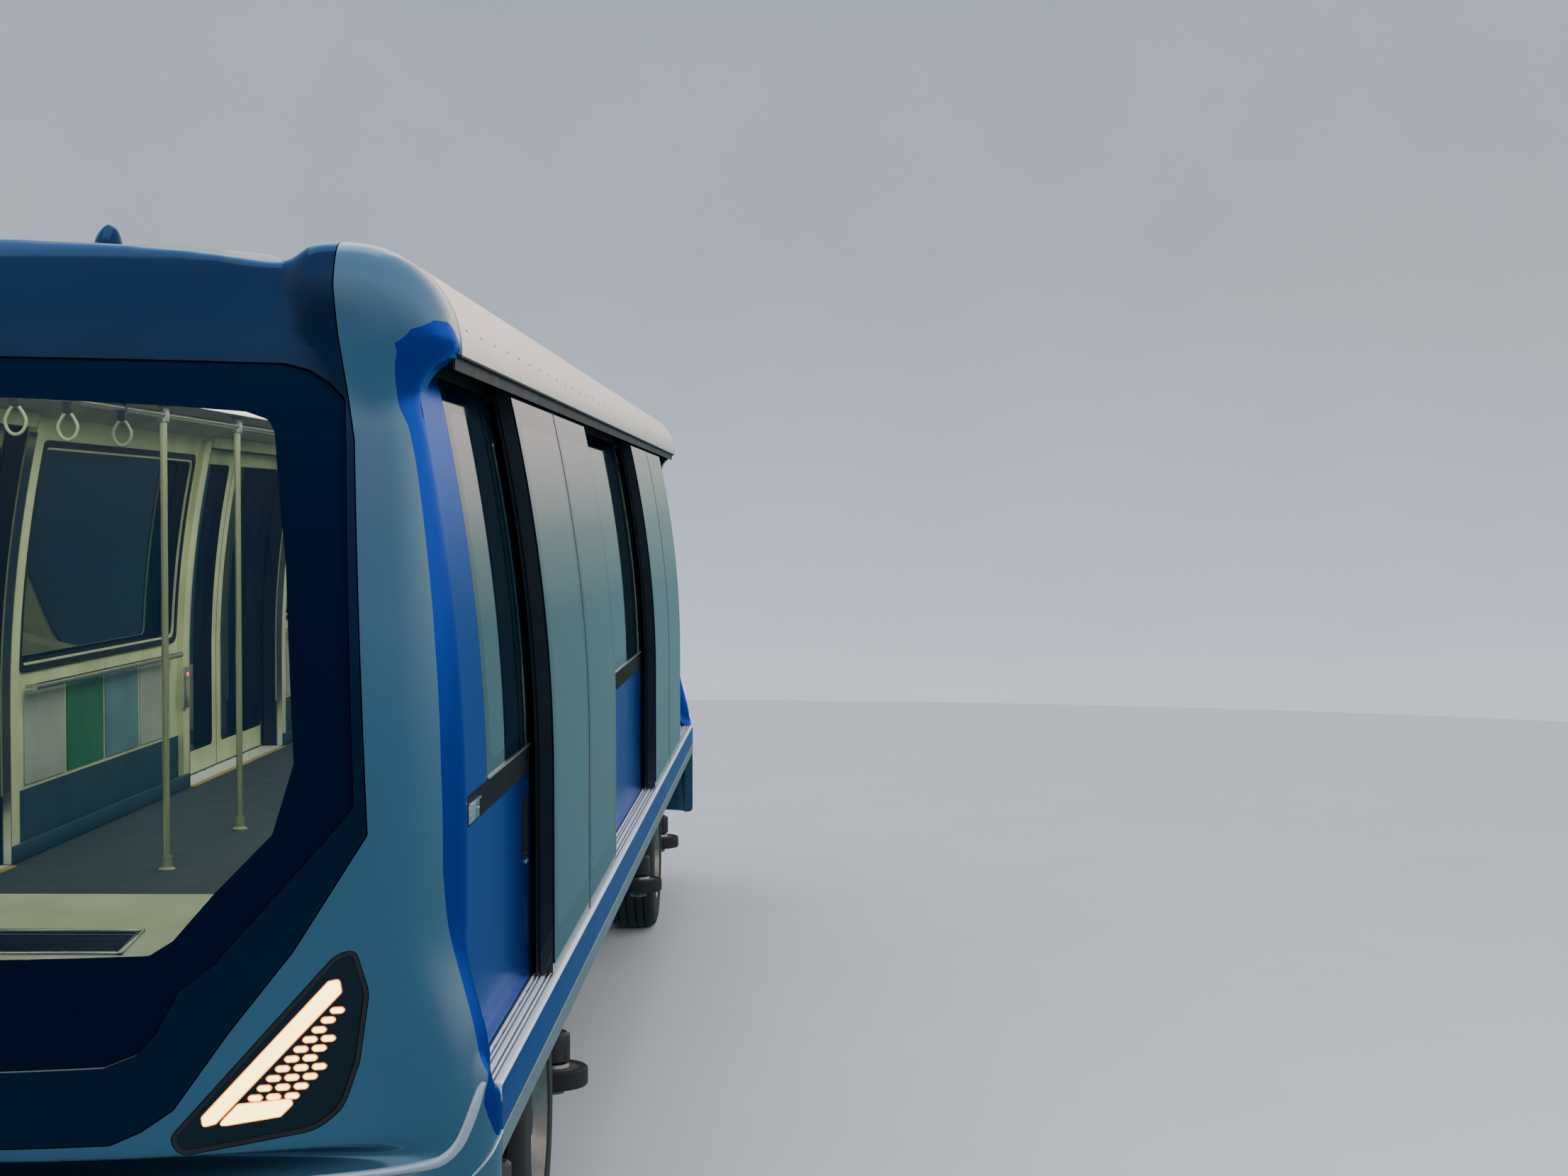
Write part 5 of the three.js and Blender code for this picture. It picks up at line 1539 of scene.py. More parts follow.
def make_air_conditioners():
    half = AIR_WIDTH / 2
    lid = [(y * 0.01, air_lid_z(y * 0.01)) for y in range(61, -62, -4)]
    outline = [(-half, AIR_Z + GAP), (half, AIR_Z + GAP), (half, AIR_SIDE_Z), (half - AIR_EDGE, AIR_EDGE_Z),
               *lid, (AIR_EDGE - half, AIR_EDGE_Z), (-half, AIR_SIDE_Z)]
    for place, sign in ENDS.items():
        x = sign * AIR_X
        unit = prism("unit", outline, x - AIR_LENGTH / 2, x + AIR_LENGTH / 2, "x")
        extras = []
        for fan_x in (x - FAN_STEP, x + FAN_STEP):
            centre = (fan_x, 0, AIR_TOP_Z)
            cut(unit, lathe("well", FAN_WELL, "z", centre, 48))
            extras += [lathe("collar", FAN_COLLAR, "z", centre, 64, UNIT_PANEL, True), make_fan(centre)]
        for side in (-1, 1):
            y0, y1 = span(side, half - 0.006, half + 0.2)
            for k in range(SLOT_ROWS):
                z = AIR_Z + 0.022 + k * SLOT_PITCH
                for x0, x1 in ((x - SLOT_X1, x - SLOT_X0), (x + SLOT_X0, x + SLOT_X1)):
                    cut(unit, block("slot", (x0, y0, z), (x1, y1, z + SLOT_HEIGHT)))
        painted(unit, UNIT_PANEL)
        modified(unit, "BEVEL", width=0.006, segments=2, limit_method="ANGLE", angle_limit=math.radians(50),
                 harden_normals=False)
        places = [(x + dx, dy, air_lid_z(dy)) for dx in SCREW_X for dy in SCREW_Y]
        extras.append(studs("screws", places, 0.009, 0.003, UP, STAINLESS))
        placed(joined(f"air_unit_{place}", [unit, *extras]), "car_body",
               [f"air_conditioner_{place}"])


def make_fan(place):
    x, y, z = place
    pieces = [lathe("hub", FAN_HUB, "z", place, 24, DARK_STEEL)]
    for k in range(BLADES):
        turn = Matrix.Translation(place) @ Matrix.Rotation(2 * math.pi * k / BLADES, 4, "Z")
        blade = block("blade", *BLADE, DARK_STEEL, 0.0015, 1)
        pieces.append(transformed(blade, turn @ Matrix.Rotation(BLADE_PITCH, 4, "X")))
    for radius in GUARD_RADII:
        ring = [(x + dx, y + dy, z - 0.002) for dx, dy in circle(radius, 40)]
        pieces.append(pipe("ring", ring, GUARD_WIRE, BARE_STEEL, 8, True))
    for dx, dy in circle(SPOKE_LENGTH, 4, math.pi / 4):
        pieces.append(rod("spoke", (x, y, z - 0.003), (x + dx, y + dy, z - 0.003), 0.003, BARE_STEEL, 8))
    return joined("fan", pieces)


make_roof_deck()
make_fairings()
make_air_conditioners()


# Inside: ceiling, lights, console, poles, straps and the far wall's panels

CEILING_OUTLINE = [(-1.14, 3.04), (-1.12, 3.04), (-0.96, 3.1), (-0.62, 3.108), (0.62, 3.108), (0.96, 3.1),
                   (1.12, 3.04), (1.14, 3.04), (1.14, 3.118), (-1.14, 3.118)]
LIGHT_Y, LIGHT_HALF, LIGHT_PITCH, LIGHT_LENGTH, LIGHTS_HALF = 0.28, 0.06, 1.06, 1.02, 5
LIGHT_Z0, LIGHT_Z1, LIGHT_TRIM = 3.082, 3.1, 0.006
GRILLE_PLACES, SLAT_HALF, SLAT_PITCH = (-3.4, -1.1, 1.1, 3.4), 0.2, 0.02
# Strips on the floor at each doorway: (name, y0, y1, height, material)
THRESHOLD_HALF = 1.175
THRESHOLDS = (("threshold", 1.215, 1.327, 0.004, LEDGE), ("edge_strip", 1.18, 1.214, 0.003, PANEL_YELLOW))
COVES, COVE_Y0, COVE_Y1, COVE_HEIGHT = ((-5.3, -3.9), (-1.5, 1.5), (3.9, 5.3)), 1.2, 1.225, 0.08
# A doorway's pillars and their metal edges: (start and end past the doorway, top, depth, material, radius)
PILLARS = ((0.005, 0.13, 3.03, 0.03, CREAM, 0.02), (0.001, 0.012, 2.98, 0.034, TRIM, 0.002))
# The header over a doorway, and the dark frame around each window
HEADER_HALF, HEADER_Z0, HEADER_Z1, HEADER_DEPTH, HEADER_RADIUS = 1.16, 3.0, 3.06, 0.035, 0.008
INNER_FRAME_WIDTH, INNER_FRAME_DEPTH, INNER_FRAME_RADIUS = 0.03, 0.012, 0.08
# Plain panels on the wall: (x0, x1, material)
PANEL_Z0, PANEL_Z1, PANEL_WIDTH = 1.42, 1.84, 0.58
WALL_PANELS = [(x0, x0 + PANEL_WIDTH, color) for x0, color in (
    (-1.2, PANEL_PALE), (-0.58, PANEL_BLUE), (0.04, PANEL_GREEN), (0.66, PANEL_PALE))]
WALL_PANELS += [(4.15, 4.6, PANEL_YELLOW), (4.64, 5.1, PANEL_BLUE), (-4.6, -4.15, PANEL_PALE),
                (-5.1, -4.64, PANEL_YELLOW)]
HANDRAILS, HANDRAIL_Z = ((-1.25, 1.25), (4.1, 5.25), (-5.25, -4.1)), 1.857
# How far the handrail stands off the wall, its radius, and its stays' radius and distance from its ends
HANDRAIL_REACH, HANDRAIL_RADIUS, RAIL_STAY_RADIUS, RAIL_STAY_INSET = 0.055, 0.016, 0.009, 0.05
CALL_BOXES, CALL_Z0, CALL_Z1, CALL_LIGHT_Z = (3.99, -1.41), 1.55, 1.78, 1.74
CALL_HALF, CALL_FRONT, CALL_BACK = 0.045, 0.05, 0.028
CALL_BUTTON = [(0, 0), (0.012, 0), (0.009, 0.004), (0, 0.005)]
POLE_PLACES = (1.63, 0.3, -1.03)
POLE_Y, POLE_RADIUS, POLE_TOP_Z = 0.5, 0.0148, 3.104
POLE_SLEEVE = [(0.0178, 0.0005), (0.036, 0.0005), (0.036, 0.006), (0.023, 0.014), (0.0225, 0.06),
               (0.0178, 0.06)]
POLE_JOINT = [(0.017, -0.035), (0.0245, -0.03), (0.0245, 0.03), (0.017, 0.035)]
RAIL_BAR_Z, RAIL_BAR_HALF, RAIL_BAR_RADIUS = 3.05, 4.2, 0.0165
RAIL_CAP = [(0, -0.006), (0.014, -0.005), (0.019, 0), (0.014, 0.005), (0, 0.006)]
HANGERS = (-4.1, -2.6, 2.9, 4.1)
STRAP_PLACES = (3.55, 2.96, 2.25, -2.25, -2.96, -3.55)
# A strap's ring: how far below the rail, half its width and height, and how far its top narrows
RING_DROP, RING_HALF, RING_RISE, RING_TAPER, RING_RADIUS = 0.098, 0.037, 0.052, 0.45, 0.006
# The console's top slopes down toward the windscreen
DESK_BACK_X, DESK_TOP_Z, DESK_SLOPE = 5.19, 1.556, 0.08 / 0.71
DESK_SIDE = [(5.1, FLOOR_Z + GAP), (5.9, FLOOR_Z + GAP), (5.9, 1.476), (DESK_BACK_X, DESK_TOP_Z),
             (5.13, 1.552), (5.105, 1.53), (5.1, 1.5)]
DESK_SLATS, DESK_SLAT_X, DESK_SLAT_PITCH, DESK_SLAT_WIDTH = 13, 5.556, 0.0145, 0.0055
# The well under the console's grille, and the four edges around it
WELL_X0, WELL_X1, WELL_HALF = 5.545, 5.735, 0.47
GRILLE_X0, GRILLE_X1, GRILLE_HALF = 5.53, 5.75, 0.485
GRILLE_EDGES = (
    (GRILLE_X0, WELL_X0, -GRILLE_HALF, GRILLE_HALF), (WELL_X1, GRILLE_X1, -GRILLE_HALF, GRILLE_HALF),
    (GRILLE_X0, GRILLE_X1, -GRILLE_HALF, -WELL_HALF), (GRILLE_X0, GRILLE_X1, WELL_HALF, GRILLE_HALF))
# The console's hatches, each a rim and a lid inside it: (name, inset, height, material)
HATCH_Y, HATCH_X0, HATCH_X1, HATCH_HALF = (-0.75, 0.75), 5.18, 5.45, 0.15
HATCHES = (("hatch_edge", 0, 0.0015, DADO), ("hatch", 0.004, 0.003, CREAM))
# The doors in the console's back, and their locks
DESK_DOORS, DESK_DOOR_X, DESK_DOOR_HALF = (-0.74, 0, 0.74), 5.092, 0.36
DESK_DOOR_Z0, DESK_DOOR_Z1 = 1.14, 1.46
DESK_LOCK, DESK_LOCK_Y, DESK_LOCK_Z = [(0, -0.012), (0.012, -0.012), (0.014, 0), (0, 0)], 0.3, 1.42


def make_ceiling():
    end = WALL_END_X - 0.004
    pieces = [prism("ceiling", CEILING_OUTLINE, -end, end, "x", CEILING)]
    low, high = LIGHT_Z0 - LIGHT_TRIM, LIGHT_Z1 + 0.004
    for side in (-1, 1):
        y0, y1 = span(side, LIGHT_Y - LIGHT_HALF, LIGHT_Y + LIGHT_HALF)
        for k in range(-LIGHTS_HALF, LIGHTS_HALF):
            x = k * LIGHT_PITCH + 0.02
            pieces.append(block("lamp_cover", (x, y0, LIGHT_Z0), (x + LIGHT_LENGTH, y1, LIGHT_Z1),
                                CEILING_LIGHT, 0.008))
        for edge in (LIGHT_Y - 0.068, LIGHT_Y + 0.062):
            y0, y1 = span(side, edge, edge + LIGHT_TRIM)
            pieces.append(block("lamp_trim", (-5.3, y0, low), (5.3, y1, high), TRIM, 0.001, 1))
    for x in GRILLE_PLACES:
        pieces += [block("slat", (x - SLAT_HALF, k * SLAT_PITCH - 0.004, 3.1),
                         (x + SLAT_HALF, k * SLAT_PITCH + 0.004, 3.107), SEAL) for k in range(-6, 7)]
    placed(joined("ceiling", pieces), "car_body")


def make_floor_covering():
    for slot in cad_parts["floor"].material_slots:
        slot.material = FLOORING
    pieces = []
    half, low = THRESHOLD_HALF, FLOOR_Z - 0.003
    for x in (-DOOR_X, DOOR_X):
        for side in (-1, 1):
            for name, near, far, height, material in THRESHOLDS:
                y0, y1 = span(side, near, far)
                pieces.append(block(name, (x - half, y0, low), (x + half, y1, FLOOR_Z + height), material,
                                    0.001))
    for side in (-1, 1):
        y0, y1 = span(side, COVE_Y0, COVE_Y1)
        pieces += [block("cove", (x0, y0, FLOOR_Z + 0.001), (x1, y1, FLOOR_Z + COVE_HEIGHT), DADO, 0.008)
                   for x0, x1 in COVES]
    placed(joined("floor_edges", pieces), "car_body")


def make_wall_fittings():
    """Doorway pillars, handrails and plain panels along one wall, made for the left side."""
    inner = WALL_Y - WALL_THICKNESS
    half = DOORWAY_HALF

    def strip(x0, x1, z0, z1, depth, material, radius):
        return bent(flat_panel("panel", rounded(rectangle(x0, x1, z0, z1), radius, 3), inner, depth,
                               material))

    pieces = []
    for x in (-DOOR_X, DOOR_X):
        for edge in (-1, 1):
            for start, end, top, depth, material, radius in PILLARS:
                x0, x1 = sorted((x + edge * (half + start), x + edge * (half + end)))
                pieces.append(strip(x0, x1, FLOOR_Z + 0.004, top, depth, material, radius))
        pieces.append(strip(x - HEADER_HALF, x + HEADER_HALF, HEADER_Z0, HEADER_Z1, HEADER_DEPTH, CREAM,
                            HEADER_RADIUS))
    pieces += [strip(x0, x1, PANEL_Z0, PANEL_Z1, 0.006, color, 0.012) for x0, x1, color in WALL_PANELS]
    y, z = inner - HANDRAIL_REACH, HANDRAIL_Z
    for x0, x1 in HANDRAILS:
        pieces.append(rod("handrail", (x0, y, z), (x1, y, z), HANDRAIL_RADIUS, STAINLESS, 14))
        for x in (x0 + RAIL_STAY_INSET, (x0 + x1) / 2, x1 - RAIL_STAY_INSET):
            pieces.append(rod("bracket", (x, y, z), (x, inner + 0.002, z), RAIL_STAY_RADIUS, STAINLESS, 10))
    for x in CALL_BOXES:
        pieces.append(block("call_box", (x - CALL_HALF, inner - CALL_FRONT, CALL_Z0),
                            (x + CALL_HALF, inner - CALL_BACK, CALL_Z1), TRIM, 0.006))
        lamp = lathe("call_light", CALL_BUTTON, "y", ORIGIN, 20, CALL_LIGHT)
        place = (x, inner - CALL_FRONT, CALL_LIGHT_Z)
        pieces.append(transformed(lamp, Matrix.Translation(place) @ HALF_TURN))
    lap = PANE_LAP + 0.002
    for x0, x1 in WINDOWS.values():
        x0, x1, z0, z1 = x0 + lap, x1 - lap, PANE_BOTTOM_Z + lap, PANE_TOP_Z - lap
        width = INNER_FRAME_WIDTH
        outer = rounded(rectangle(x0 - width, x1 + width, z0 - width, z1 + width), INNER_FRAME_RADIUS)
        ring = flat_panel("window_frame", outer, inner + 0.002, INNER_FRAME_DEPTH)
        cut(ring, wall_opening(x0, x1, z0, z1, LINING_RADIUS))
        pieces.append(painted(bent(ring), SEAL))
    both_sides("wall_fittings", joined("wall_fittings", pieces), "car_body")


def strap(x, y):
    """A hanging hand grip: a webbing loop over the rail, and a ring that tapers to it."""
    z = RAIL_BAR_Z
    loop = block("webbing", (x - 0.017, y - 0.019, z - 0.052), (x + 0.017, y + 0.019, z + 0.018), WEBBING,
                 0.01, 3)
    points = [(x, y + RING_HALF * across * (1 - RING_TAPER * max(0.0, up)), z - RING_DROP + RING_RISE * up)
              for across, up in circle(1, 28)]
    return [loop, pipe("ring", points, RING_RADIUS, WHITE_GRIP, 12, True)]


def make_grab_rails():
    """Poles, the long ceiling rail and its straps on the right side, half-turned for the left."""
    y = -POLE_Y
    end = RAIL_BAR_HALF
    pieces = [rod("rail", (-end, y, RAIL_BAR_Z), (end, y, RAIL_BAR_Z), RAIL_BAR_RADIUS, STAINLESS, 18)]
    for x in POLE_PLACES:
        pieces.append(rod("pole", (x, y, FLOOR_Z + GAP), (x, y, POLE_TOP_Z), POLE_RADIUS, POLE_STEEL, 22))
        for z, turn in ((FLOOR_Z, 1), (POLE_TOP_Z, -1)):
            sleeve = [(radius, height * turn) for radius, height in POLE_SLEEVE]
            pieces.append(lathe("sleeve", sleeve, "z", (x, y, z), 28, WHITE_GRIP, True))
        pieces.append(lathe("joint", POLE_JOINT, "z", (x, y, RAIL_BAR_Z), 24, TRIM))
    for x in HANGERS:
        pieces.append(rod("hanger", (x, y, RAIL_BAR_Z), (x, y, POLE_TOP_Z), 0.012, STAINLESS, 14))
        pieces.append(lathe("foot", [(0, 3.094), (0.03, 3.094), (0.03, 3.1), (0, 3.1)], "z", (x, y, 0), 24,
                            STAINLESS))
    pieces += [lathe("cap", RAIL_CAP, "x", (x, y, RAIL_BAR_Z), 18, TRIM) for x in (-end, end)]
    for x in STRAP_PLACES:
        pieces += strap(x, y)
    placed_twice(joined("rails", pieces), "grab_rails_{}_dressed", "car_body", "grab_rails_{}",
                 turns={"right": STAY, "left": HALF_TURN})


def make_consoles():
    """The shelf behind the windscreen, with a chrome-edged grille in its top."""
    desk = cut(cap_volume(LINING + 0.006, FLOOR_Z + GAP, 1.7, back_x=5.0),
               prism("side", DESK_SIDE, -1.15, 1.15, "y"), "INTERSECT")
    painted(desk, CREAM)

    def sloping(name, x0, x1, y0, y1, low, high, material, bevel=0.0):
        """A block that follows the top's slope, with heights above it."""
        piece = block(name, (x0, y0, low), (x1, y1, high), material, bevel)
        for vert in piece.data.vertices:
            vert.co.z += DESK_TOP_Z - (vert.co.x - DESK_BACK_X) * DESK_SLOPE
        return piece

    cut(desk, block("well", (WELL_X0, -WELL_HALF, 1.4), (WELL_X1, WELL_HALF, 1.6)))
    pieces = [desk, sloping("well_floor", 5.54, 5.74, -0.475, 0.475, -0.05, -0.03, SEAL)]
    for x in [DESK_SLAT_X + DESK_SLAT_PITCH * k for k in range(DESK_SLATS)]:
        pieces.append(sloping("slat", x, x + DESK_SLAT_WIDTH, -0.468, 0.468, -0.024, -0.002, LEAF_FRAME))
    pieces += [sloping("grille_edge", *edge, -0.006, 0.006, TRIM, 0.002) for edge in GRILLE_EDGES]
    for y in HATCH_Y:
        for name, inset, high, material in HATCHES:
            half = HATCH_HALF - inset
            pieces.append(sloping(name, HATCH_X0 + inset, HATCH_X1 - inset, y - half, y + half, -0.004, high,
                                  material, 0.001))
    x, half = DESK_DOOR_X, DESK_DOOR_HALF
    pieces += [block("door", (x, y - half, DESK_DOOR_Z0), (x + 0.01, y + half, DESK_DOOR_Z1), CREAM, 0.004)
               for y in DESK_DOORS]
    pieces += [lathe("lock", DESK_LOCK, "x", (x, y + DESK_LOCK_Y, DESK_LOCK_Z), 18, STAINLESS)
               for y in DESK_DOORS]
    placed_twice(joined("console", pieces), "console_{}_dressed", "car_body", "console_{}")


make_ceiling()
make_floor_covering()
make_wall_fittings()
make_grab_rails()
make_consoles()


# Running gear: wheels, bogies, couplers and the cases between the bogies

AXLE_BORE = 0.061
GUIDE_BOTTOM_Z = 0.36
GUIDE_BORE = 0.026
COUPLER_PIVOT_X, COUPLER_Z = 5.08, 0.62
FRAME_BOTTOM_Z = 0.96
FRAME_FOOT_Z = FRAME_BOTTOM_Z - GAP
TREAD_RADIUS = TYRE_RADIUS - 0.001

# A road wheel's profiles: (radius, distance from its inner face)
GROOVE_PLACES, GROOVE_DEPTH, GROOVE_HALF, GROOVE_FLOOR_HALF = (0.07, 0.122, 0.178, 0.23), 0.013, 0.007, 0.004
TYRE_INNER = [(0.302, 0.002), (0.33, 0.0005), (0.375, 0.006), (0.42, 0.004), (0.447, 0.012), (0.463, 0.028),
              (TREAD_RADIUS, 0.05)]
TYRE_OUTER = [(TREAD_RADIUS, 0.25), (0.463, 0.272), (0.447, 0.288), (0.42, 0.296), (0.375, 0.294),
              (0.33, 0.299), (0.302, 0.298), (0.29, 0.28), (0.29, 0.02)]
WHEEL_RIM = [(AXLE_BORE, 0.004), (0.17, 0.004), (0.19, 0.05), (0.27, 0.06), (0.285, 0.016), (0.3, 0.008),
             (0.306, 0.012), (0.297, 0.03), (0.286, 0.06), (0.286, 0.24), (0.297, 0.272), (0.306, 0.288),
             (0.3, 0.292), (0.284, 0.282), (0.268, 0.255), (0.215, 0.205), (0.205, 0.2), (0.14, 0.2),
             (0.13, 0.205), (0.125, 0.245), (0.115, 0.25), (AXLE_BORE, 0.25)]
HUB_CAP = [(0, 0.266), (0.05, 0.266), (0.068, 0.258), (0.075, 0.2505), (0, 0.2505)]
NUTS, NUT_CIRCLE, NUT_SEAT = 10, 0.168, 0.2
SIPES, SIPE_ROWS, SIPE_HALF, SIPE_DEPTH = 48, ((0.048, 0.062), (0.238, 0.252)), 0.003, 0.006

# A guide wheel's profiles: (radius, height over its lower face)
GUIDE_TYRE = [(0.106, 0.016), (0.134, 0.0145), (GUIDE_RADIUS, 0.021), (GUIDE_RADIUS, 0.079), (0.134, 0.0855),
              (0.106, 0.084)]
GUIDE_RIM = [(GUIDE_BORE, 0), (0.062, 0), (0.068, 0.012), (0.098, 0.016), (0.106, 0.012), (0.107, 0.088),
             (0.098, 0.084), (0.068, 0.088), (0.062, 0.1), (GUIDE_BORE, 0.1)]

# The bogie's turned parts, about their own axes
AXLE = [(0, -1.13), (0.058, -1.13), (0.06, -0.99), (0.095, -0.985), (0.088, -0.5), (0.1, -0.2), (0.12, -0.15),
        (0.12, 0.15), (0.1, 0.2), (0.088, 0.5), (0.095, 0.985), (0.06, 0.99), (0.058, 1.13), (0, 1.13)]
DIFFERENTIAL = [(0, -0.14), (0.12, -0.138), (0.19, -0.1), (0.21, -0.03), (0.21, 0.03), (0.185, 0.1),
                (0.09, 0.13), (0.07, 0.139), (0, 0.14)]
SLEWING_RING = [(0, 0.9), (0.44, 0.9), (0.44, 0.918), (0.425, 0.921), (0.425, 0.933), (0.44, 0.936),
                (0.44, FRAME_FOOT_Z), (0, FRAME_FOOT_Z)]
BAR_LOW_Z, BAR_HIGH_Z = GUIDE_Z + 0.062, GUIDE_Z + 0.16
GUIDE_PIN = [(0, GUIDE_BOTTOM_Z - 0.014), (0.0245, GUIDE_BOTTOM_Z - 0.014), (0.0245, 0.5), (0, 0.5)]
GUIDE_WASHER = [(0, GUIDE_BOTTOM_Z - 0.022), (0.03, GUIDE_BOTTOM_Z - 0.022), (0.047, GUIDE_BOTTOM_Z - 0.018),
                (0.047, GUIDE_BOTTOM_Z - 0.008), (0, GUIDE_BOTTOM_Z - 0.008)]
GUIDE_BOSS = [(0, BAR_LOW_Z - 0.006), (0.06, BAR_LOW_Z - 0.006), (0.07, BAR_LOW_Z + 0.002),
              (0.07, BAR_HIGH_Z + 0.004), (0.055, BAR_HIGH_Z + 0.014), (0, BAR_HIGH_Z + 0.014)]
ROD_EYE = [(0, -0.04), (0.045, -0.04), (0.05, -0.03), (0.05, 0.03), (0.045, 0.04), (0, 0.04)]
ARM_MIDDLE_Y, SEAT_Y, DISC_Y, DAMPER_X = 0.82, 0.6, 0.72, 0.3
RADIUS_ROD_X, RADIUS_ROD_Y, RADIUS_ROD_Z = 0.9, 0.36, BAR_LOW_Z + 0.06
SPRING_LOW_Z, SPRING_HIGH_Z, SPRING_PLATE, PLATE_RADIUS = 0.632, 0.888, 0.014, 0.135
LOBE_RADIUS, LOBE_SWELL, LOBE_STEPS, LOBE_GAP = 0.118, 0.032, 8, 0.008

# The coupler's turned parts
COUPLER_BORE = 0.0312
COUPLER_EYE = [(COUPLER_BORE, -0.06), (0.092, -0.06), (0.1, -0.052), (0.1, 0.052), (0.092, 0.06),
               (COUPLER_BORE, 0.06)]
DRAFT_RING = [(0.07, -0.02), (0.085, -0.02), (0.085, 0.02), (0.07, 0.02)]
HEAD_X = 5.884
SOCKET = [(0, -0.06), (0.02, -0.06), (0.038, 0.02), (0, 0.02)]
CONE = [(0, -0.02), (0.036, -0.02), (0.036, 0.002), (0.02, 0.0055), (0, 0.006)]
BRACKET_HALF, JAW_HALF, BRACKET_FOOT_Z = 0.16, 0.0605, COUPLER_Z - 0.11
PIN_HEAD = [(0, -0.128), (0.036, -0.128), (0.042, -0.122), (0.042, -0.1095), (0, -0.1095)]

# Under the floor: (y, z, radius) of the conduits, and where clips hold them
CONDUITS = ((-0.3, 0.9, 0.018), (-0.24, 0.9, 0.012), (0.28, 0.895, 0.022))
CLIP_PLACES, CLIP_HALF = (-2.1, -1.3, -0.4, 0.5, 1.3, 2.1), 0.012
CASE_INSET, LOUVRE_PITCH, LOUVRE_MARGIN = 0.035, 0.028, 0.24
RAIL_HALF, RAIL_DEPTH, RAIL_HALF_LENGTH = 0.04, 0.045, 2.0
PAD_X, PAD_Y, PAD_RIB_PITCH, PAD_RIBS_HALF = 4.4, 1.19, 0.024, 3


def guide_mount(x, y):
    """The pin, washer and boss that hold a guide wheel."""
    return [lathe("pin", GUIDE_PIN, "z", (x, y, 0), 28, BARE_STEEL),
            lathe("washer", GUIDE_WASHER, "z", (x, y, 0), 28, BARE_STEEL),
            lathe("boss", GUIDE_BOSS, "z", (x, y, 0), 32, DARK_STEEL)]


def steel(name, low, high, bevel, material=DARK_STEEL, segments=2):
    return block(name, low, high, material, bevel, segments)


def bolts(name, places, radius, height, axis, material=BARE_STEEL):
    """Six-sided bolt heads at many places."""
    return studs(name, places, radius, height, axis, material, 6, False)


def make_road_wheel():
    """A tyre with grooves and a steel rim, about Y, for a wheel of the left side at the axle's middle."""
    inner = WHEEL_Y - TYRE_WIDTH / 2
    top, floor = TYRE_RADIUS - 0.0005, TYRE_RADIUS - GROOVE_DEPTH
    tread = []
    for y in GROOVE_PLACES:
        tread += [(top, y - GROOVE_HALF), (floor, y - GROOVE_FLOOR_HALF), (floor, y + GROOVE_FLOOR_HALF),
                  (top, y + GROOVE_HALF)]
    profile = [(radius, inner + along) for radius, along in TYRE_INNER + tread + TYRE_OUTER]
    pieces = [
        lathe("tyre", profile, "y", ORIGIN, 96, RUBBER, True),
        lathe("rim", [(radius, inner + along) for radius, along in WHEEL_RIM], "y", ORIGIN, 64, BARE_STEEL,
              True),
        lathe("hub_cap", HUB_CAP, "y", (0, inner, 0), 40, DARK_STEEL),
        bolts("nuts", [(x, inner + NUT_SEAT, z) for x, z in circle(NUT_CIRCLE, NUTS)], 0.015, 0.022, OUTWARD),
        rod("valve", (0.2, inner + 0.2, 0.12), (0.225, inner + 0.235, 0.135), 0.004, BARE_STEEL, 8),
    ]
    for k in range(SIPES):
        turn = Matrix.Rotation(2 * math.pi * k / SIPES, 4, "Y")
        for y0, y1 in SIPE_ROWS:
            sipe = block("sipe", (-SIPE_HALF, inner + y0, TYRE_RADIUS - SIPE_DEPTH),
                         (SIPE_HALF, inner + y1, TYRE_RADIUS), SEAL)
            pieces.append(transformed(sipe, turn))
    return joined("wheel", pieces)


def make_guide_wheel():
    """A solid-tyred guide wheel standing on Z, its lower face at zero."""
    places = [(x, y, 0.0135) for x, y in circle(0.083, 6)]
    return joined("guide_wheel", [
        lathe("tyre", GUIDE_TYRE, "z", ORIGIN, 56, RUBBER, True),
        lathe("rim", GUIDE_RIM, "z", ORIGIN, 40, BARE_STEEL, True),
        bolts("bolts", places, 0.009, 0.009, (0, 0, -1), DARK_STEEL),
    ])


def make_wheels():
    wheel = make_road_wheel()
    guide = make_guide_wheel()
    for place, sign in ENDS.items():
        for side, mirror in SIDES.items():
            name = f"road_wheel_{place}_{side}"
            made = on_side(copy_of(wheel, f"{name}_dressed"), mirror)
            transformed(made, Matrix.Translation((sign * AXLE_X, 0, TYRE_RADIUS)))
            placed(made, name, [name], 30)
            for guide_place, step in (("fore", 1), ("aft", -1)):
                name = f"guide_wheel_{place}_{side}_{guide_place}"
                seat = Matrix.Translation((sign * AXLE_X + step * GUIDE_X, mirror * GUIDE_Y, GUIDE_BOTTOM_Z))
                placed(transformed(copy_of(guide, f"{name}_dressed"), seat), name, [name], 30)
    drop(wheel, guide)


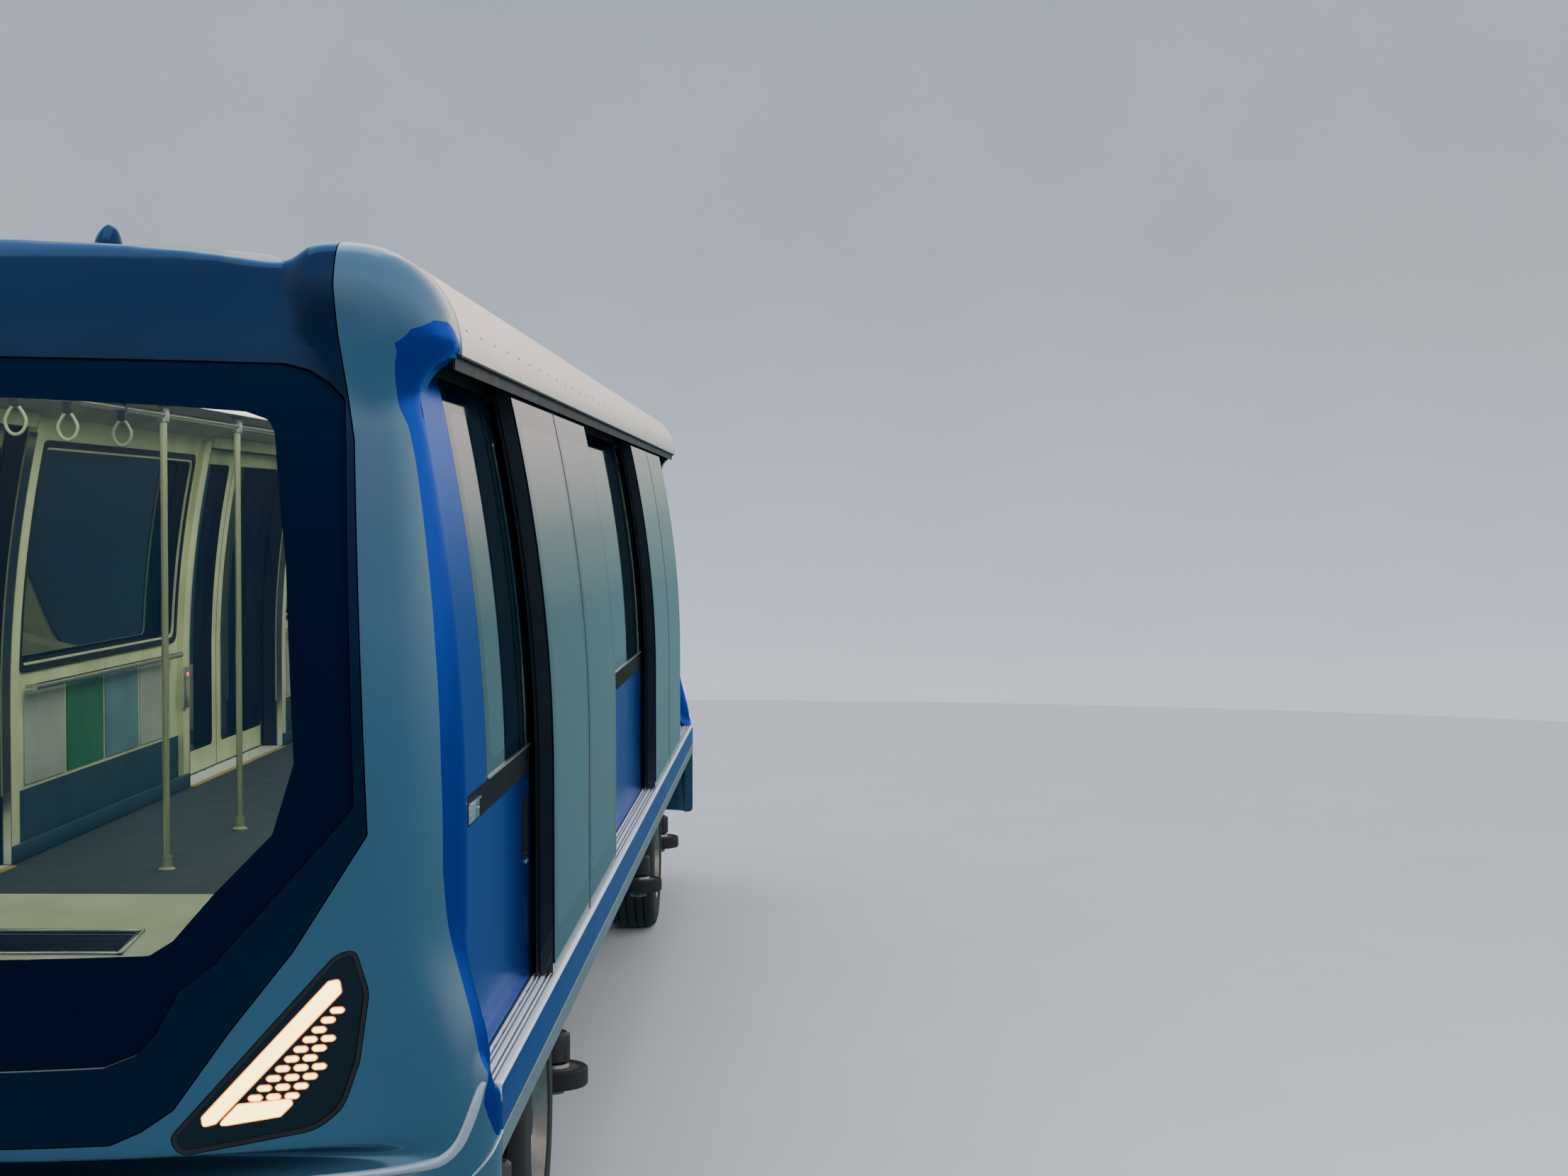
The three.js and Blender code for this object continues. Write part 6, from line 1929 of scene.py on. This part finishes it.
def make_bogie():
    """Axle, differential, air springs, slewing ring and guide bars of one bogie, about its own middle."""
    z = TYRE_RADIUS
    low, high = BAR_LOW_Z, BAR_HIGH_Z
    pieces = [
        lathe("axle", AXLE, "y", (0, 0, z), 40, DARK_STEEL),
        lathe("differential", DIFFERENTIAL, "x", (0, 0, z), 36, DARK_STEEL),
        lathe("slewing_ring", SLEWING_RING, "z", ORIGIN, 72, DARK_STEEL),
        steel("bolster", (-0.47, -0.8, 0.88), (0.47, 0.8, 0.925), 0.01),
    ]
    for side in (-1, 1):
        arm_y, seat_y, cross_x = side * ARM_MIDDLE_Y, side * SEAT_Y, side * GUIDE_X
        pieces += [
            steel("side_arm", (-GUIDE_X - 0.04, arm_y - 0.045, low), (GUIDE_X + 0.04, arm_y + 0.045, high),
                  0.008),
            steel("guide_bar", (cross_x - 0.045, -GUIDE_Y - 0.06, low),
                  (cross_x + 0.045, GUIDE_Y + 0.06, high), 0.01),
            steel("spring_seat", (-0.18, seat_y - 0.21, low + 0.02), (0.18, seat_y + 0.21, 0.64), 0.012),
            air_spring(0, seat_y, SPRING_LOW_Z, SPRING_HIGH_Z),
        ]
        rod_y = side * RADIUS_ROD_Y
        for end in (-1, 1):
            x = end * DAMPER_X
            eye = (end * RADIUS_ROD_X, rod_y, RADIUS_ROD_Z)
            pieces += guide_mount(end * GUIDE_X, side * GUIDE_Y)
            pieces += [
                rod("damper_body", (x, side * 0.72, 0.6), (x, side * 0.74, 0.77), 0.034, CASE_PAINT, 20),
                rod("damper_rod", (x, side * 0.735, 0.76), (x, side * 0.75, 0.885), 0.014, BARE_STEEL, 14),
                rod("radius_rod", (end * 0.12, rod_y, z + 0.02), eye, 0.026, DARK_STEEL, 16),
                lathe("rod_eye", ROD_EYE, "y", eye, 24, BELLOWS),
            ]
        y = side * DISC_Y
        disc = [(0.1, -0.02), (0.205, -0.02), (0.21, -0.016), (0.21, 0.016), (0.205, 0.02), (0.1, 0.02)]
        route = smooth_route([(0.16, y, z + 0.08), (0.2, y - side * 0.1, z + 0.2), (0.12, side * 0.5, 0.7),
                              (0.06, side * 0.47, 0.88)])
        places = [(x, seat_y + dy, 0.64) for x in (-0.12, 0.12) for dy in (-0.17, 0.17)]
        pieces += [
            lathe("brake_disc", disc, "y", (0, y, z), 56, BRAKE_DISC, True),
            steel("caliper", (0.09, y - 0.05, z - 0.1), (0.235, y + 0.05, z + 0.09), 0.015, CASE_PAINT, 3),
            pipe("brake_hose", route, 0.009, BELLOWS, 12),
            bolts("seat_bolts", places, 0.014, 0.012, UP),
        ]
    places = [(0.128, y, z + up) for y, up in circle(0.12, 10)]
    pieces.append(bolts("cover_bolts", places, 0.011, 0.012, FORWARD))
    pieces.append(rod("sensor_bar", (-GUIDE_X, -0.3, high + 0.02), (-GUIDE_X, 0.3, high + 0.02), 0.012,
                      BARE_STEEL, 12))
    return joined("bogie", pieces)


def air_spring(x, y, low, high):
    """Two rubber lobes between plates."""
    middle = (low + high) / 2
    foot, head = low + SPRING_PLATE, high - SPRING_PLATE
    profile = [(0, low), (PLATE_RADIUS, low), (PLATE_RADIUS, foot)]
    for start, end in ((foot, middle - LOBE_GAP), (middle + LOBE_GAP, head)):
        for i in range(LOBE_STEPS + 1):
            t = i / LOBE_STEPS
            profile.append((LOBE_RADIUS + LOBE_SWELL * math.sin(math.pi * t), start + (end - start) * t))
    profile += [(PLATE_RADIUS, head), (PLATE_RADIUS, high), (0, high)]
    return lathe("air_spring", profile, "z", (x, y, 0), 48, BELLOWS)


def make_bogies():
    bogie = make_bogie()
    for place, sign in ENDS.items():
        made = transformed(copy_of(bogie, f"bogie_{place}_dressed"),
                           Matrix.Translation((sign * AXLE_X, 0, 0)))
        placed(made, f"bogie_{place}", [f"bogie_frame_{place}"], 30)
    drop(bogie)


def make_couplers():
    x, z = COUPLER_PIVOT_X, COUPLER_Z
    shank = steel("shank", (x + 0.02, -0.06, z - 0.05), (5.7, 0.06, z + 0.05), 0.012, segments=3)
    cut(shank, lathe("clear", [(0, -0.1), (0.09, -0.1), (0.09, 0.1), (0, 0.1)], "z", (x, 0, z), 48))
    route = smooth_route([(5.3, 0.0, z + 0.07), (5.42, 0.02, z + 0.1), (5.6, 0.05, z + 0.105),
                          (5.74, 0.06, z + 0.092)])
    coupler = joined("coupler", [
        shank,
        lathe("eye", COUPLER_EYE, "z", (x, 0, z), 48, DARK_STEEL, True),
        steel("neck", (5.68, -0.1, z - 0.09), (5.8, 0.1, z + 0.09), 0.02, segments=3),
        make_coupler_face(z),
        lathe("draft_ring", DRAFT_RING, "x", (5.5, 0, z), 32, BARE_STEEL, True),
        pipe("air_hose", route, 0.011, BELLOWS, 12),
        steel("hose_clip", (5.28, -0.02, z + 0.045), (5.32, 0.02, z + 0.085), 0.004, BARE_STEEL),
    ])
    placed_twice(coupler, "coupler_{}_dressed", "coupler_{}", "coupler_{}", 30)


def make_coupler_face(z):
    """The coupling head: a plate with a guide cone, a socket and contact pads."""
    head = steel("head", (5.79, -0.14, z - 0.12), (HEAD_X, 0.14, z + 0.12), 0.012, segments=3)
    cut(head, lathe("socket", SOCKET, "x", (HEAD_X, -0.065, z + 0.01), 32))
    pads = [steel("pad", (HEAD_X - 0.004, y - 0.05, z - 0.1), (HEAD_X + 0.004, y + 0.05, z - 0.055), 0.003,
                  BARE_STEEL)
            for y in (-0.07, 0.07)]
    places = [(HEAD_X, y, w) for y in (-0.125, 0.125) for w in (z - 0.03, z + 0.1)]
    return joined("head", [
        painted(head, DARK_STEEL),
        lathe("cone", CONE, "x", (HEAD_X, 0.065, z + 0.01), 32, BARE_STEEL),
        *pads,
        bolts("face_bolts", places, 0.008, 0.005, FORWARD),
    ])


def make_brackets():
    back_x, front_x = COUPLER_PIVOT_X - 0.41, COUPLER_PIVOT_X + 0.11
    half, top, low = BRACKET_HALF, FRAME_FOOT_Z, BRACKET_FOOT_Z
    pivot = (COUPLER_PIVOT_X, 0, COUPLER_Z)
    places = [(x, y, top - 0.06) for x in (back_x + 0.3, front_x + 0.08) for y in (-0.12, 0.12)]
    bracket = joined("bracket", [
        steel("plate", (back_x, -half, top - 0.06), (front_x + 0.13, half, top), 0.006),
        steel("back", (back_x, -half, low), (back_x + 0.22, half, top), 0.01),
        steel("upper_jaw", (front_x - 0.22, -half, COUPLER_Z + JAW_HALF), (front_x, half, top), 0.01),
        steel("lower_jaw", (back_x, -half, low), (front_x, half, COUPLER_Z - JAW_HALF), 0.01),
        lathe("pin", [(0, -0.1), (0.029, -0.1), (0.029, 0.1), (0, 0.1)], "z", pivot, 28, BARE_STEEL),
        lathe("pin_head", PIN_HEAD, "z", pivot, 6, BARE_STEEL),
        bolts("bolts", places, 0.014, 0.012, (0, 0, -1)),
    ])
    placed_twice(bracket, "coupler_bracket_{}_dressed", "car_body", "coupler_bracket_{}", 30)


# Cases hung between the bogies: (x0, x1, y0, y1, bottom z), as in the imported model
UNDERFLOOR_CASES = [
    (-2.05, -1.15, 0.42, 1.18, 0.47),
    (-1.05, 0.25, 0.42, 1.2, 0.43),
    (0.4, 1.25, 0.42, 1.15, 0.52),
    (1.35, 2.05, 0.42, 1.18, 0.45),
    (-2.05, -0.7, -1.19, -0.42, 0.44),
    (-0.55, 0.65, -1.15, -0.42, 0.5),
    (0.8, 2.05, -1.19, -0.42, 0.43),
]


def make_case(x0, x1, y0, y1, z0, louvred):
    """A case with a hinged cover on its outer side, latches, louvres and ribs below."""
    top = FRAME_BOTTOM_Z - 0.0403
    side = 1 if y1 > 0 else -1
    face = y1 if side > 0 else y0
    inset = CASE_INSET
    pieces = [block("case", (x0, y0, z0), (x1, y1, top), CASE_PAINT, 0.012, 3)]

    def on_face(name, u0, u1, w0, w1, out, material, bevel=0.004):
        low, high = sorted((face - side * 0.004, face + side * out))
        pieces.append(block(name, (u0, low, w0), (u1, high, w1), material, bevel))

    on_face("cover", x0 + inset, x1 - inset, z0 + inset, top - inset, 0.007, CASE_PAINT)
    for x in (x0 + 0.16, x1 - 0.16):
        on_face("latch", x - 0.018, x + 0.018, z0 + 0.05, z0 + 0.1, 0.016, BARE_STEEL)
        on_face("hinge", x - 0.04, x + 0.04, top - 0.05, top - 0.03, 0.014, BARE_STEEL)
    rows = int((top - z0 - LOUVRE_MARGIN) / LOUVRE_PITCH) if louvred else 0
    for k in range(rows):
        z = z0 + 0.13 + k * LOUVRE_PITCH
        on_face("louvre", x0 + 0.09, x1 - 0.09, z, z + LOUVRE_PITCH / 2, 0.012, DARK_STEEL)
    for k in (1, 2, 3):
        x = x0 + (x1 - x0) * k / 4
        pieces.append(block("rib", (x - 0.012, y0 + 0.05, z0 - 0.006), (x + 0.012, y1 - 0.05, z0 + 0.004),
                            CASE_PAINT, 0.003))
    return pieces


def make_underfloor():
    top, half = FRAME_FOOT_Z, RAIL_HALF
    low = top - RAIL_DEPTH
    pieces = []
    for k, case in enumerate(UNDERFLOOR_CASES):
        pieces += make_case(*case, k % 2 == 1)
    for y in (-1.08, -0.5, 0.5, 1.08):
        pieces.append(steel("rail", (-RAIL_HALF_LENGTH, y - half, low), (RAIL_HALF_LENGTH, y + half, top),
                            0.004))
    for x in (-1.75, 0, 1.75):
        pieces.append(steel("cross_rail", (x - half, -1.1, low), (x + half, 1.1, top), 0.004))
    for y, z, radius in CONDUITS:
        bend = y + 0.02
        route = smooth_route([(-2.25, y, z), (-1.2, y, z), (-0.9, bend, z), (0.9, bend, z), (1.2, y, z),
                              (2.25, y, z)])
        pieces.append(pipe("conduit", route, radius, BELLOWS if radius > 0.015 else BARE_STEEL, 14))
        for x in CLIP_PLACES:
            pieces.append(steel("clip", (x - CLIP_HALF, y - 0.02 - radius, z - radius * 0.4),
                                (x + CLIP_HALF, y + 0.04 + radius, top), 0.003, BARE_STEEL))
    placed(joined("underfloor_cases_dressed", pieces), "car_body", ["underfloor_cases"], 30)


def make_underframe():
    """The frame's own solid keeps its shape and gets a worn paint; jacking pads get ribs."""
    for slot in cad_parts["underframe"].material_slots:
        slot.material = DARK_STEEL
    pieces = []
    for x in (-PAD_X, PAD_X):
        for y in (-PAD_Y, PAD_Y):
            for k in range(-PAD_RIBS_HALF, PAD_RIBS_HALF + 1):
                rib_x = x + k * PAD_RIB_PITCH
                pieces.append(block("pad_rib", (rib_x - 0.004, y - 0.07, 0.894),
                                    (rib_x + 0.004, y + 0.07, 0.9005), BARE_STEEL, 0.001, 1))
    placed(joined("pad_ribs", pieces), "car_body")


make_wheels()
make_bogies()
make_couplers()
make_brackets()
make_underfloor()
make_underframe()


# The stage: a pale floor, soft studio light and the camera of the photo

FLOOR_SIZE, BACKDROP_RADIUS, BACKDROP_CURVE, BACKDROP_TOP = 40, 38, 8, 40
SKY_STOPS = [(0.0, (0.12, 0.25, 0.29)), (0.18, (0.16, 0.31, 0.34)), (0.22, (0.32, 0.44, 0.44)),
             (0.27, (0.9, 0.85, 0.8)), (0.36, (1.5, 1.25, 1.1)), (0.6, (1.25, 1.12, 1.06)),
             (1.0, (0.74, 1.0, 1.32))]
# Directions as shares of a unit vector: the sky's height, and a cooler patch low down ahead of the car
SKY_HEIGHTS, AHEAD, AHEAD_MOST, OVERHEAD = (-0.2, 0.8), (-0.2, 0.9), 0.9, (0.25, 0.6)
AHEAD_COLOUR = (0.08, 0.2, 0.33)
LENS, SENSOR_WIDTH = 55.04, 36
CAMERA_PLACE, CAMERA_DIRECTION = (11.85, 2.235, 2.62), (-1, -0.00857, -0.0303)
CABIN_LIGHTS, CABIN_LIGHT_Z, CABIN_COLOUR = (-3.6, -1.2, 1.2, 3.6), 3.06, (0.84, 1.0, 0.84)


def aimed(obj, place, direction):
    """Links a light or a camera that looks along a direction."""
    obj.location = place
    obj.rotation_euler = Vector(direction).to_track_quat("-Z", "Y").to_euler()
    bpy.context.scene.collection.objects.link(obj)


def area_light(name, place, target, size, power, color=(1, 1, 1), shiny=False):
    light = bpy.data.lights.new(name, "AREA")
    light.shape = "RECTANGLE"
    light.size, light.size_y = size
    light.energy = power
    light.color = color
    obj = bpy.data.objects.new(name, light)
    obj.visible_glossy = shiny
    aimed(obj, place, Vector(target) - Vector(place))


def make_floor():
    made = bmesh.new()
    bmesh.ops.create_grid(made, x_segments=8, y_segments=8, size=FLOOR_SIZE)
    floor = from_bmesh("studio_floor", made)
    paint = Paint("studio_floor")
    paint.colour((0.62, 0.62, 0.61), 0.02, 0.6)
    paint.rough(0.5, 0.65, 2)
    floor.data.materials.append(paint.material)
    floor.visible_glossy = False
    centre = BACKDROP_RADIUS - BACKDROP_CURVE
    profile = [(22, 0.01), *arc(centre, BACKDROP_CURVE, BACKDROP_CURVE, -90, 0, 24),
               (BACKDROP_RADIUS, BACKDROP_TOP)]
    backdrop = lathe("studio_backdrop", profile, "z", ORIGIN, 96)
    finish_mesh(backdrop, 60)
    wall = Paint("studio_backdrop")
    wall.colour((0.86, 0.85, 0.83), 0.02, 0.3)
    wall.set(Roughness=0.9)
    backdrop.data.materials.append(wall.material)
    backdrop.visible_glossy = False
    backdrop.visible_diffuse = False
    backdrop.visible_shadow = False


def make_world():
    """A sky of soft bands, cooler ahead of the car below the middle of the sky."""
    world = bpy.data.worlds.new("studio")
    bpy.context.scene.world = world
    world.use_nodes = True
    tree = world.node_tree
    split = tree.nodes.new("ShaderNodeSeparateXYZ")
    tree.links.new(tree.nodes.new("ShaderNodeTexCoord").outputs["Generated"], split.inputs["Vector"])
    forward, up = split.outputs["X"], split.outputs["Z"]
    sky = colour_ramp(tree, map_range(tree, up, SKY_HEIGHTS, (0, 1)), SKY_STOPS)
    shares = (map_range(tree, forward, AHEAD, (0, AHEAD_MOST)), map_range(tree, up, OVERHEAD, (1, 0)))
    color = blended(tree, shares, sky, AHEAD_COLOUR)
    tree.links.new(color, tree.nodes["Background"].inputs["Color"])


def make_camera():
    camera = bpy.data.cameras.new("camera")
    camera.lens = LENS
    camera.sensor_width = SENSOR_WIDTH
    camera.sensor_fit = "HORIZONTAL"
    obj = bpy.data.objects.new("camera", camera)
    aimed(obj, CAMERA_PLACE, CAMERA_DIRECTION)
    bpy.context.scene.camera = obj


make_floor()
make_world()
make_camera()
area_light("key", (7.5, 8.5, 6.0), (4, 0.5, 1.8), (6, 4), 400)
area_light("fill", (11, -5, 6), (5, 0, 1.8), (5, 4), 110)
area_light("top", (0, 0, 8), (0, 0, 1), (10, 4), 150, shiny=True)
for cabin_x in CABIN_LIGHTS:
    area_light("cabin", (cabin_x, 0, CABIN_LIGHT_Z), (cabin_x, 0, 1), (2.2, 1.6), 42, CABIN_COLOUR)
